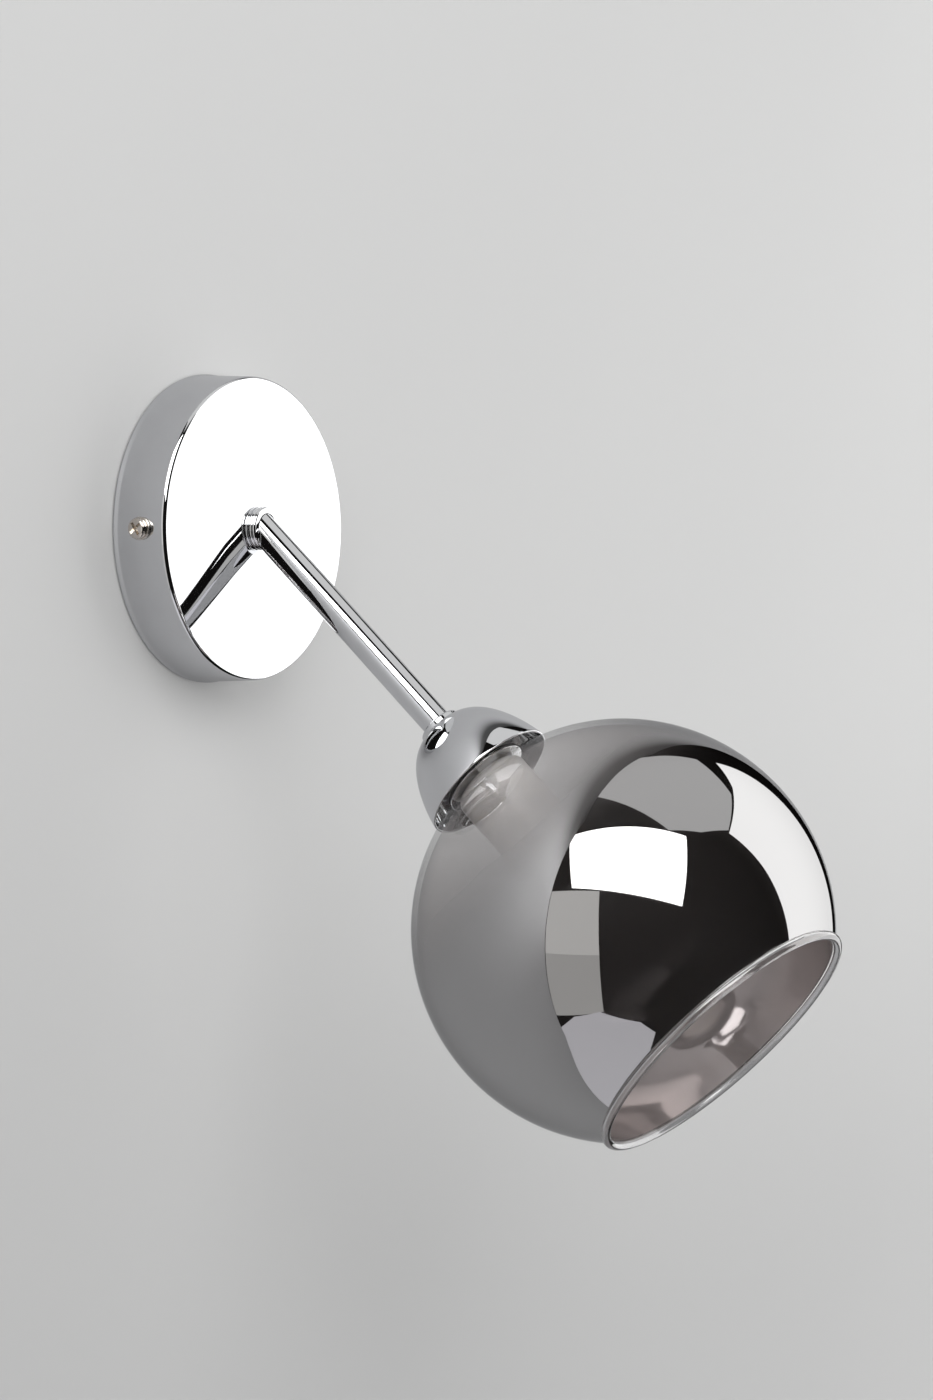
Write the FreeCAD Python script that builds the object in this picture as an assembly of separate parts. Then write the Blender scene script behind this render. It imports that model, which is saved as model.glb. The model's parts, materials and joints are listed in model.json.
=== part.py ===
import FreeCAD, Part
import math
import os

from FreeCAD import Vector

# Globe wall sconce.
# Millimetres. The wall is the plane y = 0, the room lies towards -y, and +z is up.
# The origin is on the wall at the wall plate's centre.
# Two local frames are used. "Plate" pieces are drawn along +z as the distance from the wall,
# and "arm" pieces along +z as the distance from the elbow, down the arm's own line.

# Running and seating clearances
THREAD_CLEARANCE = 0.03      # radial, screw in its thread
RUNNING_CLEARANCE = 0.08     # radial, turning stub in the plate
LOOSE_CLEARANCE = 0.2        # radial, screw or nipple through a plain hole
FACE_GAP = 0.15              # along the axis, between the turning arm and the plate's rings
BODY_GAP = 0.3               # between pieces that move past each other
GLASS_GAP = 0.6              # radial, glass neck in the cap's rim

# Wall plate
PLATE_RADIUS = 50.0
PLATE_DEPTH = 19.2           # to the rim of its face
PLATE_CROWN = 1.4            # how far the face's flat middle stands past that rim
PLATE_SLOPE_WIDTH = 17.0     # of the face's ring that slopes to the rim, round its flat middle
PLATE_CROWN_ROUND = 300.0    # between the two
PLATE_SHEET = 1.0
PLATE_DRAFT = 0.8            # how much the side closes in towards the front
PLATE_CORNER = 1.4
PLATE_LIP_HEIGHT = 1.2
PLATE_LIP_PROUD = 0.35
PLATE_LIP_ROUND = 0.25
PLATE_CORNER_INSIDE = 0.6

# Wall bracket
STRAP_THICK = 1.5
STRAP_WIDTH = 18.0
STRAP_BEND = 1.0             # inside radius of each bend
STRAP_SIDE_GAP = 0.4         # tab corners to the plate's inside
TAB_MARGIN = 5.0             # metal past the side screw's axis
SLOT_SPACING = 66.0
SLOT_LENGTH = 12.0
SLOT_WIDTH = 4.5

# Side screws and the earth screw, M3.5
M35_RADIUS = 1.75
M35_HEAD_RADIUS = 3.3
M35_HEAD_HEIGHT = 2.1
M35_HEAD_ROUND = 1.5
M35_RECESS_SPAN = 4.2        # tip to tip of the cross
M35_RECESS_SLOT = 0.9
M35_RECESS_DEPTH = 1.2
THREAD_END_ROUND = 0.4       # screws, stub and nipple
HEAD_EDGE_ROUND = 0.15
SIDE_SCREW_LEVEL = 10.6      # from the wall
SIDE_SCREW_PAST_TAB = 2.5    # thread showing behind the tab
SIDE_WASHER_RADIUS = 3.7
SIDE_WASHER_THICK = 0.8
WASHER_EDGE = 0.2

# Small M2.5 screws
M25_RADIUS = 1.25
M25_HEAD_RADIUS = 2.1
M25_HEAD_HEIGHT = 1.5
M25_SLOT_WIDTH = 0.5
M25_SLOT_DEPTH = 0.7

# Swivel: ringed collar, stub and what clamps them
COLLAR_RADIUS = 7.0
BASE_RING_HEIGHT = 1.6
BASE_RING_ROUND = 0.5
COLLAR_HEIGHT = 1.1
COLLAR_BACK_ROUND = 0.2
COLLAR_FRONT_ROUND = 0.8
COLLAR_FLARE = 5.0           # the bore opens out to this at the collar's front, for the bent lead
COLLAR_FLARE_LENGTH = 5.25
STUB_RADIUS = 5.0
STUB_BORE = 3.0
STUB_PAST_NUT = 0.3
EARTH_TAG_THICK = 0.8
EARTH_TAG_RADIUS = 8.0
EARTH_TAG_REACH = 17.5
EARTH_TAG_WIDTH = 4.0
FRICTION_WASHER_RADIUS = 7.5
FRICTION_WASHER_THICK = 1.0
STOP_WASHER_RADIUS = 8.0
STOP_WASHER_THICK = 1.0
STOP_TAB_REACH = 11.5
STOP_TAB_WIDTH = 4.0
STOP_PIN_RADIUS = 1.0
STOP_PIN_OFFSET = 10.0       # from the swivel's axis
STOP_PIN_PAST_TAB = 0.4
SWIVEL_NUT_FLATS = 14.0
SWIVEL_NUT_HEIGHT = 2.6
HEX_CHAMFER = 0.6            # height of a nut's turned corner, as a share of its width

# Arm
ARM_DROP = 42.28             # degrees below level
ARM_RADIUS = 4.75
ARM_BORE = 3.5
ELBOW_BEHIND_COLLAR = 1.8    # tube's line meets the plate's axis this far behind the collar's front
ARM_REACH = 91.0             # elbow to the cap's top
TUBE_IN_CAP = 1.2
TUBE_THREAD_LENGTH = 12.5

# Hollow nipple, M8 x 1
NIPPLE_RADIUS = 4.0
NIPPLE_BORE = 2.75
NIPPLE_IN_TUBE = 12.0
NIPPLE_IN_HOLDER = 4.7

# Bell cap
CAP_NECK_RADIUS = 6.9
CAP_NECK_ROUND = 0.7
CAP_DOME_RADIUS = 22.1
CAP_DOME_HEIGHT = 24.0
CAP_DOME_START = 1.4         # neck's height above the dome's pole
CAP_WALL = 0.7
CAP_TOP_THICK = 2.0
DOME_POWER = 1.25            # the dome follows radius * (1 - fraction ** power) ** root
DOME_ROOT = 0.326
CAP_WASHER_RADIUS = 7.2
CAP_WASHER_THICK = 1.0
NIPPLE_NUT_FLATS = 12.0
CAP_NUT_HEIGHT = 4.0
SUPPORT_NUT_HEIGHT = 3.0
SEAT_DISC_RADIUS = 14.0
SEAT_DISC_THICK = 1.5
GASKET_THICK = 1.0
GASKET_RADIUS = 13.0
CLAMP_DISC_RADIUS = 14.0
CLAMP_DISC_THICK = 1.5
DISC_EDGE = 0.3

# Glass globe
GLOBE_RADIUS = 64.0
GLOBE_WALL = 1.8
NECK_SHOWS = 3.3             # between the cap's rim and the sphere
NECK_HIDDEN = 5.9            # inside the cap
NECK_FILLET = 0.8
NECK_SHOULDER = 4.5
NECK_HOLE = 4.6
MOUTH_RADIUS = 45.1          # of the bead's centre line
BEAD_RADIUS = 1.4
BEAD_PROUD = 0.5             # the centre line is this far outside the sphere

# Lamp holder, for the small 14 mm screw cap
HOLDER_DOME_TOP = 7.5
HOLDER_DOME_HEIGHT = 7.5
HOLDER_DOME_ROUND = 2.5
HOLDER_TOP_ROUND = 0.6
HOLDER_TOP_FALL = 1.25       # of the dome's top, out to its rounded corner
HOLDER_FLOOR = 3.4           # thickness of the dome's top
HOLDER_HOLLOW_ROUND = 1.5
HOLDER_BOSS_PAST_NIPPLE = 0.6
HOLDER_WALL = 1.7
HOLDER_RADIUS = 12.3
HOLDER_SMOOTH_LENGTH = 18.7
SKIRT_RADIUS = 14.0
SKIRT_LENGTH = 13.0
SKIRT_LEAD_IN = 1.2
SKIRT_STEP_ROUND = 0.3
HOLDER_END_ROUND = 0.6
THREAD_PITCH = 1.5
THREAD_TURNS = 6
THREAD_DEPTH = 0.45
THREAD_LAND = 0.55
ENTRY_RADIUS = 9.6
ENTRY_DEPTH = 6.5
SPIGOT_LENGTH = 2.0
SPIGOT_WALL = 0.9
INSERT_CLEARANCE = 0.2
INSERT_TOP_GAP = 1.2
INSERT_FLOOR_LENGTH = 6.0
POCKET_DEPTH = 4.5
POCKET_WIDTH = 4.8
POCKET_START = 2.9           # from the holder's axis

# Screw shell of the lamp holder
SHELL_CREST_RADIUS = 6.2
SHELL_WAVE = 0.85
SHELL_PITCH = 2.82
SHELL_WAVES = 5
SHELL_SHEET = 0.3
SHELL_WAVE_ROUND = 0.4
SHELL_TAB_WIDTH = 4.0
SHELL_TAB_START = 3.9

# Centre contact, a sprung tongue
TONGUE_WIDTH = 3.5
TONGUE_SHEET = 0.4
TONGUE_ROOT = -5.6
TONGUE_BEND = -4.4
TONGUE_TIP = 2.4
TONGUE_RISE = 2.0
TONGUE_TIP_FALL = 0.5
TONGUE_ROOT_ROUND = 0.8      # inside radius of the bend at its root
TONGUE_CREST_ROUND = 1.5     # inside radius of its crest

# Terminals
RIVET_RADIUS = 0.8
RIVET_HEAD_RADIUS = 1.3
RIVET_HEAD_HEIGHT = 0.4
TERMINAL_OFFSET = 5.2
TERMINAL_WIDTH = 4.4
TERMINAL_START = 3.1
TERMINAL_END = 7.4
TERMINAL_HEIGHT = 4.2
WIRE_HOLE_FLOOR = 0.8
CORE_END_IN_TERMINAL = 1.2   # above the terminal's foot
HOLDER_SCREW_HEAD = 1.7
HOLDER_SCREW_HEAD_HEIGHT = 1.2
BLOCK_LENGTH = 16.0
BLOCK_START = 10.6           # from the plate's axis
BLOCK_WIDTH = 18.0
BLOCK_HEIGHT = 9.5
BLOCK_ROUND = 1.0
BLOCK_POLE_OFFSET = 4.5
BLOCK_TUBE_RADIUS = 2.6
BLOCK_TUBE_BORE = 1.5
BLOCK_TUBE_HEIGHT = 3.6      # tube's axis above the strap
BLOCK_TUBE_INSET = 0.8
BLOCK_SCREW_INSET = 4.0
BLOCK_SCREW_LENGTH = 3.1
BLOCK_SCREW_RAISED = 0.9
BLOCK_FLOOR = 4.5            # under the fixing screw's head

# Leads
LEAD_RADIUS = 2.0
CORE_RADIUS = 0.8
CORE_SPREAD = 1.0            # each core from the lead's axis
CORE_FAN = (1.3, 2.2)        # spread at the supply cores' two bends, as a share of CORE_SPREAD
CORE_BEND_SHARE = 0.47       # of the drop from the stub to the connector, at each bend
SHEATH_STOPS = 2.8           # before the nipple's end
FAN_STARTS = 0.4             # past the nipple's end
FAN_ENDS = 1.8               # before the terminals' tops
EARTH_WIRE_RADIUS = 1.0
EARTH_SCREW_OFFSET = 13.0
EARTH_LUG_RADIUS = 3.8
EARTH_LUG_THICK = 0.8
BARREL_WALL = 0.45
BARREL_LENGTH = 3.8
WIRE_END_IN_LUG = 0.5        # from the barrel's inner end
ARC_SHARE = 0.45             # of the shorter run, in each bend of a lead

# Levels from the wall, worked out from the sizes above
PLATE_FRONT = PLATE_DEPTH + PLATE_CROWN
PLATE_INSIDE = PLATE_FRONT - PLATE_SHEET
TAB_DEPTH = SIDE_SCREW_LEVEL + TAB_MARGIN
COLLAR_BACK = PLATE_FRONT + BASE_RING_HEIGHT + FACE_GAP
COLLAR_FRONT = COLLAR_BACK + COLLAR_HEIGHT
ELBOW_LEVEL = COLLAR_FRONT - ELBOW_BEHIND_COLLAR
EARTH_TAG_BACK = PLATE_INSIDE - EARTH_TAG_THICK
FRICTION_BACK = EARTH_TAG_BACK - FACE_GAP - FRICTION_WASHER_THICK
STOP_BACK = FRICTION_BACK - STOP_WASHER_THICK
SWIVEL_NUT_BACK = STOP_BACK - SWIVEL_NUT_HEIGHT
STUB_END = SWIVEL_NUT_BACK - STUB_PAST_NUT
STUB_SHANK = STUB_RADIUS - THREAD_CLEARANCE
PLATE_HOLE = STUB_SHANK + RUNNING_CLEARANCE

# Levels along the arm
CAP_TOP = ARM_REACH
CAP_POLE = CAP_TOP + CAP_DOME_START
CAP_RIM = CAP_POLE + CAP_DOME_HEIGHT
TUBE_END = CAP_TOP + TUBE_IN_CAP
CAP_INSIDE = TUBE_END + CAP_TOP_THICK
NECK_RADIUS = CAP_DOME_RADIUS - CAP_WALL - GLASS_GAP
GLOBE_TOP = CAP_RIM - NECK_HIDDEN
GLOBE_CENTRE = CAP_RIM + NECK_SHOWS + math.sqrt(GLOBE_RADIUS ** 2 - NECK_RADIUS ** 2)
UPPER_GASKET_TOP = GLOBE_TOP - GASKET_THICK
SEAT_DISC_TOP = UPPER_GASKET_TOP - SEAT_DISC_THICK
SUPPORT_NUT_TOP = SEAT_DISC_TOP - SUPPORT_NUT_HEIGHT
LOWER_GASKET_TOP = GLOBE_TOP + GLOBE_WALL
CLAMP_DISC_TOP = LOWER_GASKET_TOP + GASKET_THICK
HOLDER_TOP = CLAMP_DISC_TOP + CLAMP_DISC_THICK
HOLDER_SEAM = HOLDER_TOP + HOLDER_DOME_HEIGHT
SKIRT_TOP = HOLDER_SEAM + HOLDER_SMOOTH_LENGTH
HOLDER_END = SKIRT_TOP + SKIRT_LENGTH
HOLDER_INSIDE = HOLDER_RADIUS - HOLDER_WALL
INSERT_RADIUS = HOLDER_INSIDE - INSERT_CLEARANCE
INSERT_TOP = HOLDER_SEAM + SPIGOT_LENGTH + INSERT_TOP_GAP
INSERT_END = HOLDER_END - ENTRY_DEPTH - INSERT_CLEARANCE
SOCKET_FLOOR = INSERT_TOP + INSERT_FLOOR_LENGTH
SHELL_TOP = SOCKET_FLOOR + RIVET_HEAD_HEIGHT + SHELL_SHEET
SHELL_OUTSIDE = SHELL_CREST_RADIUS + SHELL_WAVE + SHELL_SHEET
NIPPLE_START = TUBE_END - NIPPLE_IN_TUBE
NIPPLE_END = HOLDER_TOP + NIPPLE_IN_HOLDER
NIPPLE_SHANK = NIPPLE_RADIUS - THREAD_CLEARANCE
LEAD_END = NIPPLE_END - SHEATH_STOPS

AXIS = Vector(0, 0, 1)
OVERLAP = 1.0                # how far a cutting tool runs past the face it opens


def rounded_wire(corners):
    """Closed wire in the xz plane through (x, z) corners; a third number rounds a corner."""
    cuts = []
    for index, corner in enumerate(corners):
        here = Vector(corner[0], 0, corner[1])
        radius = corner[2] if len(corner) > 2 else 0.0
        if radius == 0.0:
            cuts.append((here, None, here))
            continue
        before = corners[index - 1]
        after = corners[(index + 1) % len(corners)]
        back = (Vector(before[0], 0, before[1]) - here).normalize()
        ahead = (Vector(after[0], 0, after[1]) - here).normalize()
        half = back.getAngle(ahead) / 2
        reach = radius / math.tan(half)
        middle = here + (back + ahead).normalize() * (radius / math.sin(half) - radius)
        cuts.append((here + back * reach, middle, here + ahead * reach))
    edges = []
    for index, (start, middle, end) in enumerate(cuts):
        if middle is not None:
            edges.append(Part.Arc(start, middle, end).toShape())
        following = cuts[(index + 1) % len(cuts)][0]
        if end.distanceToPoint(following) > 1e-6:
            edges.append(Part.LineSegment(end, following).toShape())
    return Part.Wire(edges)


def outward(solid):
    """The same solid with its faces pointing outwards."""
    if solid.Volume < 0:
        solid.reverse()
    return solid


def turned_wire(wire):
    """Solid of revolution of a closed (radius, level) wire about the local z axis."""
    return outward(Part.Face(wire).revolve(Vector(0, 0, 0), AXIS, 360))


def turned(corners):
    """Solid of revolution of (radius, level) corners; a third number rounds a corner."""
    return turned_wire(rounded_wire(corners))


def ring(outer, inner, low, high, edge=0.0):
    """Flat ring or washer between two levels, its outer corners rounded by edge."""
    return turned([(inner, low), (outer, low, edge), (outer, high, edge), (inner, high)])


def cylinder(radius, low, high, x=0.0, y=0.0):
    """Cylinder along the local z axis."""
    return Part.makeCylinder(radius, high - low, Vector(x, y, low), AXIS)


def rod(radius, start, end):
    """Cylinder between two points."""
    way = end - start
    return Part.makeCylinder(radius, way.Length, start, way)


def block(x_low, x_high, y_low, y_high, z_low, z_high):
    """Box between two corners."""
    corner = Vector(x_low, y_low, z_low)
    return Part.makeBox(x_high - x_low, y_high - y_low, z_high - z_low, corner)


def hexagon(flats, bore, low, high):
    """Hexagon nut: six flats with turned corners and a plain bore."""
    corner = flats / math.sqrt(3)
    points = [Vector(corner * math.cos(math.radians(60 * n)), corner * math.sin(math.radians(60 * n)), low)
              for n in range(6)]
    points.append(points[0])
    prism = Part.Face(Part.makePolygon(points)).extrude(Vector(0, 0, high - low))
    chamfer = (corner - flats / 2) * HEX_CHAMFER
    turning = turned([(0, low), (flats / 2, low), (corner, low + chamfer),
                      (corner, high - chamfer), (flats / 2, high), (0, high)])
    return prism.common(turning).cut(cylinder(bore, low - OVERLAP, high + OVERLAP))


def joined(shapes):
    """One solid from overlapping shapes."""
    whole = shapes[0].fuse(shapes[1:]) if len(shapes) > 1 else shapes[0]
    return whole.removeSplitter()


def grouped(shapes):
    """Separate solids kept in one node."""
    return Part.makeCompound(shapes)


def on_plate(shape):
    """Lay a plate piece: local z is the distance from the wall, local y is up."""
    return shape.rotated(Vector(0, 0, 0), Vector(1, 0, 0), 90)


def on_arm(shape):
    """Lay an arm piece: local z is the distance from the elbow down the arm."""
    turned_shape = shape.rotated(Vector(0, 0, 0), Vector(1, 0, 0), 90 + ARM_DROP)
    return turned_shape.translated(Vector(0, -ELBOW_LEVEL, 0))


def side_facing(shape, side):
    """Lay a piece drawn along +z so that it points out through the plate's side (-1 left, 1 right)."""
    laid = shape.rotated(Vector(0, 0, 0), Vector(0, 1, 0), 90 * side)
    return laid.translated(Vector(0, -SIDE_SCREW_LEVEL, 0))


def lead_path(points):
    """Straight runs joined by tangent arcs, each as large as its two runs allow."""
    edges = []
    start = points[0]
    for index in range(1, len(points) - 1):
        here = points[index]
        back = points[index - 1] - here
        ahead = points[index + 1] - here
        half_turn = (math.pi - back.getAngle(ahead)) / 2
        reach = ARC_SHARE * min(back.Length, ahead.Length)
        radius = reach / math.tan(half_turn)
        back.normalize()
        ahead.normalize()
        to_centre = (back + ahead).normalize()
        middle = here + to_centre * (radius / math.cos(half_turn) - radius)
        arc_start = here + back * reach
        arc_end = here + ahead * reach
        edges.append(Part.LineSegment(start, arc_start).toShape())
        edges.append(Part.Arc(arc_start, middle, arc_end).toShape())
        print("  bend radius", round(radius, 2))
        start = arc_end
    edges.append(Part.LineSegment(start, points[-1]).toShape())
    return Part.Wire(edges)


def lead(points, radius):
    """Round lead along a path; its volume is checked against section times length."""
    path = lead_path(points)
    way = points[1] - points[0]
    section = Part.Wire([Part.Circle(points[0], way, radius).toShape()])
    solid = outward(path.makePipeShell([section], True, True))
    expected = math.pi * radius ** 2 * path.Length
    print("  lead", round(path.Length, 1), "mm long, volume ratio", round(solid.Volume / expected, 4))
    return solid


# Wall side


def plate_side_radius(level):
    """Outer radius of the plate's side at a distance from the wall."""
    back = PLATE_RADIUS - PLATE_LIP_PROUD
    return back - PLATE_DRAFT * level / PLATE_DEPTH


def backplate():
    """Drawn dish with a slightly raised face and a small lip at its back edge."""
    front = plate_side_radius(PLATE_DEPTH)
    lip_side = plate_side_radius(PLATE_LIP_HEIGHT)
    slope_start = PLATE_RADIUS - PLATE_SLOPE_WIDTH
    shell = turned([
        (PLATE_RADIUS - PLATE_LIP_PROUD - PLATE_SHEET, 0),
        (PLATE_RADIUS, 0, PLATE_LIP_ROUND),
        (PLATE_RADIUS, PLATE_LIP_HEIGHT, PLATE_LIP_ROUND),
        (lip_side, PLATE_LIP_HEIGHT),
        (front, PLATE_DEPTH, PLATE_CORNER),
        (slope_start, PLATE_FRONT, PLATE_CROWN_ROUND),
        (PLATE_HOLE, PLATE_FRONT),
        (PLATE_HOLE, PLATE_INSIDE),
        (slope_start, PLATE_INSIDE, PLATE_CROWN_ROUND - PLATE_SHEET),
        (front - PLATE_SHEET, PLATE_DEPTH - PLATE_SHEET, PLATE_CORNER_INSIDE),
    ])
    hole = M35_RADIUS + LOOSE_CLEARANCE
    drill = Part.makeCylinder(hole, 2 * PLATE_RADIUS + 2 * OVERLAP,
                              Vector(-PLATE_RADIUS - OVERLAP, 0, SIDE_SCREW_LEVEL), Vector(1, 0, 0))
    return on_plate(shell.cut(drill))


def tab_face():
    """Distance of each tab's outer face from the plate's axis."""
    inside = plate_side_radius(TAB_DEPTH) - PLATE_SHEET
    return math.sqrt(inside ** 2 - (STRAP_WIDTH / 2) ** 2) - STRAP_SIDE_GAP


def slot(centre):
    """Cutting tool of one wall-screw slot, along the strap."""
    half = (SLOT_LENGTH - SLOT_WIDTH) / 2
    low, high = -OVERLAP, STRAP_THICK + OVERLAP
    radius = SLOT_WIDTH / 2
    middle = block(centre - half, centre + half, -radius, radius, low, high)
    ends = [cylinder(radius, low, high, centre + side * half) for side in (-1, 1)]
    return joined(ends + [middle])


def wall_bracket():
    """Steel strap with both ends bent forward as threaded tabs."""
    reach = tab_face()
    outer = STRAP_BEND + STRAP_THICK
    corners = [
        (-reach, TAB_DEPTH), (-reach, 0, outer), (reach, 0, outer), (reach, TAB_DEPTH),
        (reach - STRAP_THICK, TAB_DEPTH), (reach - STRAP_THICK, STRAP_THICK, STRAP_BEND),
        (STRAP_THICK - reach, STRAP_THICK, STRAP_BEND), (STRAP_THICK - reach, TAB_DEPTH),
    ]
    strap = Part.Face(rounded_wire(corners)).extrude(Vector(0, STRAP_WIDTH, 0))
    strap = outward(strap).translated(Vector(0, -STRAP_WIDTH / 2, 0))
    side_thread = Part.makeCylinder(M35_RADIUS, 2 * reach + 2 * OVERLAP,
                                    Vector(-reach - OVERLAP, 0, SIDE_SCREW_LEVEL), Vector(1, 0, 0))
    tools = [side_thread, slot(-SLOT_SPACING / 2), slot(SLOT_SPACING / 2)]
    tools.append(cylinder(M35_RADIUS, -OVERLAP, STRAP_THICK + OVERLAP, -EARTH_SCREW_OFFSET))
    tools.append(cylinder(M25_RADIUS, -OVERLAP, STRAP_THICK + OVERLAP, BLOCK_START + BLOCK_LENGTH / 2))
    return on_plate(strap.cut(tools))


def cross_recess(top):
    """Cutting tool of a cross recess, tapering to a blunt point below the head's top."""
    half = M35_RECESS_SPAN / 2
    foot = M35_RECESS_SLOT / 2
    wing = Part.Face(rounded_wire([(-half, top + OVERLAP), (half, top + OVERLAP), (half, top),
                                   (foot, top - M35_RECESS_DEPTH), (-foot, top - M35_RECESS_DEPTH),
                                   (-half, top)])).extrude(Vector(0, M35_RECESS_SLOT, 0))
    wing = outward(wing).translated(Vector(0, -foot, 0))
    return joined([wing, wing.rotated(Vector(0, 0, 0), AXIS, 90)])


def m35_screw(head_under, tip):
    """M3.5 pan-head screw, its head's underside at one level and its tip below it."""
    shank = M35_RADIUS - THREAD_CLEARANCE
    top = head_under + M35_HEAD_HEIGHT
    screw = turned([(0, tip), (shank, tip, THREAD_END_ROUND), (shank, head_under),
                    (M35_HEAD_RADIUS, head_under, HEAD_EDGE_ROUND), (M35_HEAD_RADIUS, top, M35_HEAD_ROUND),
                    (0, top)])
    return screw.cut(cross_recess(top))


def side_washer_base():
    """Distance from the plate's axis at which the side washers seat on the plate's side."""
    return plate_side_radius(SIDE_SCREW_LEVEL - SIDE_WASHER_RADIUS)


def side_screw(side):
    """One of the two screws that hold the plate on its bracket."""
    head_under = side_washer_base() + SIDE_WASHER_THICK + FACE_GAP / 2
    tip = tab_face() - STRAP_THICK - SIDE_SCREW_PAST_TAB
    return side_facing(m35_screw(head_under, tip), side)


def side_washers():
    """Plain washers under the side screws' heads."""
    base = side_washer_base()
    one = ring(SIDE_WASHER_RADIUS, M35_RADIUS + LOOSE_CLEARANCE, base, base + SIDE_WASHER_THICK, WASHER_EDGE)
    return grouped([side_facing(one, side) for side in (-1, 1)])


def base_ring():
    """Rear ring of the collar, fixed to the plate."""
    front = PLATE_FRONT + BASE_RING_HEIGHT
    return on_plate(ring(COLLAR_RADIUS, PLATE_HOLE, PLATE_FRONT, front, BASE_RING_ROUND))


def earth_tag():
    """Ring tag on the plate's inside with a tongue and a crimped barrel."""
    plate = ring(EARTH_TAG_RADIUS, PLATE_HOLE, EARTH_TAG_BACK, PLATE_INSIDE)
    half = EARTH_TAG_WIDTH / 2
    root = (PLATE_HOLE + EARTH_TAG_RADIUS) / 2
    tongue = block(-EARTH_TAG_REACH, -root, -half, half, EARTH_TAG_BACK, PLATE_INSIDE)
    barrel_low = Vector(-EARTH_TAG_REACH, 0, earth_tag_wire_level())
    barrel_high = barrel_low + Vector(BARREL_LENGTH, 0, 0)
    outer = EARTH_WIRE_RADIUS + BARREL_WALL
    barrel = rod(outer, barrel_low, barrel_high)
    whole = joined([plate, tongue, barrel])
    reach = Vector(OVERLAP, 0, 0)
    return on_plate(whole.cut(rod(EARTH_WIRE_RADIUS, barrel_low - reach, barrel_high + reach)))


def earth_tag_wire_level():
    """Distance from the wall of the earth wire where the tag holds it."""
    return EARTH_TAG_BACK - EARTH_WIRE_RADIUS


def stop_pin():
    """Stud on the plate's inside that ends the arm's turn."""
    end = STOP_BACK - STOP_PIN_PAST_TAB
    return on_plate(cylinder(STOP_PIN_RADIUS, end, PLATE_INSIDE, 0, STOP_PIN_OFFSET))


def terminal_levels():
    """Levels from the wall of the terminal tubes' axis and the block's top."""
    return STRAP_THICK + BLOCK_TUBE_HEIGHT, STRAP_THICK + BLOCK_HEIGHT


def terminal_screw_places():
    """Position along the strap, pole offset and lift of each terminal screw."""
    lamp_side = BLOCK_START + BLOCK_SCREW_INSET
    mains_side = BLOCK_START + BLOCK_LENGTH - BLOCK_SCREW_INSET
    places = []
    for pole in (-BLOCK_POLE_OFFSET, BLOCK_POLE_OFFSET):
        places.append((lamp_side, pole, 0.0))
        places.append((mains_side, pole, BLOCK_SCREW_RAISED))
    return places


def terminal_block():
    """Moulded two-pole connector body on the strap."""
    axis_level, top = terminal_levels()
    end = BLOCK_START + BLOCK_LENGTH
    body = Part.Face(rounded_wire([(BLOCK_START, STRAP_THICK), (end, STRAP_THICK), (end, top, BLOCK_ROUND),
                                   (BLOCK_START, top, BLOCK_ROUND)])).extrude(Vector(0, BLOCK_WIDTH, 0))
    body = outward(body).translated(Vector(0, -BLOCK_WIDTH / 2, 0))
    tools = []
    for pole in (-BLOCK_POLE_OFFSET, BLOCK_POLE_OFFSET):
        tools.append(rod(BLOCK_TUBE_RADIUS, Vector(BLOCK_START - OVERLAP, pole, axis_level),
                         Vector(end + OVERLAP, pole, axis_level)))
    for x, pole, _ in terminal_screw_places():
        tools.append(cylinder(M25_RADIUS + LOOSE_CLEARANCE, axis_level, top + OVERLAP, x, pole))
    middle = BLOCK_START + BLOCK_LENGTH / 2
    seat = STRAP_THICK + BLOCK_FLOOR
    tools.append(cylinder(M25_RADIUS + LOOSE_CLEARANCE, 0, seat + OVERLAP, middle))
    tools.append(cylinder(M25_HEAD_RADIUS + LOOSE_CLEARANCE / 2, seat, top + OVERLAP, middle))
    return on_plate(body.cut(tools))


def terminal_tubes():
    """Brass tubes of the connector, one for each pole."""
    axis_level, _ = terminal_levels()
    start = BLOCK_START + BLOCK_TUBE_INSET
    end = BLOCK_START + BLOCK_LENGTH - BLOCK_TUBE_INSET
    reach = Vector(OVERLAP, 0, 0)
    tubes = []
    for pole in (-BLOCK_POLE_OFFSET, BLOCK_POLE_OFFSET):
        low, high = Vector(start, pole, axis_level), Vector(end, pole, axis_level)
        tools = [rod(BLOCK_TUBE_BORE, low - reach, high + reach)]
        for x, at, _ in terminal_screw_places():
            if at == pole:
                tools.append(cylinder(M25_RADIUS, axis_level, axis_level + 2 * BLOCK_TUBE_RADIUS, x, pole))
        tubes.append(rod(BLOCK_TUBE_RADIUS - THREAD_CLEARANCE, low, high).cut(tools))
    return on_plate(grouped(tubes))


def slotted(solid, top, span, x=0.0, y=0.0):
    """Cut a screwdriver slot into a screw's top."""
    half = M25_SLOT_WIDTH / 2
    return solid.cut(block(x - span, x + span, y - half, y + half, top - M25_SLOT_DEPTH, top + OVERLAP))


def terminal_screws():
    """Clamping screws of the connector; those on the mains side stand open."""
    axis_level, _ = terminal_levels()
    screws = []
    for x, pole, lift in terminal_screw_places():
        low = axis_level + CORE_RADIUS + lift
        high = low + BLOCK_SCREW_LENGTH
        shank = cylinder(M25_RADIUS - THREAD_CLEARANCE, low, high, x, pole)
        screws.append(slotted(shank, high, M25_RADIUS, x, pole))
    return on_plate(grouped(screws))


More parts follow.
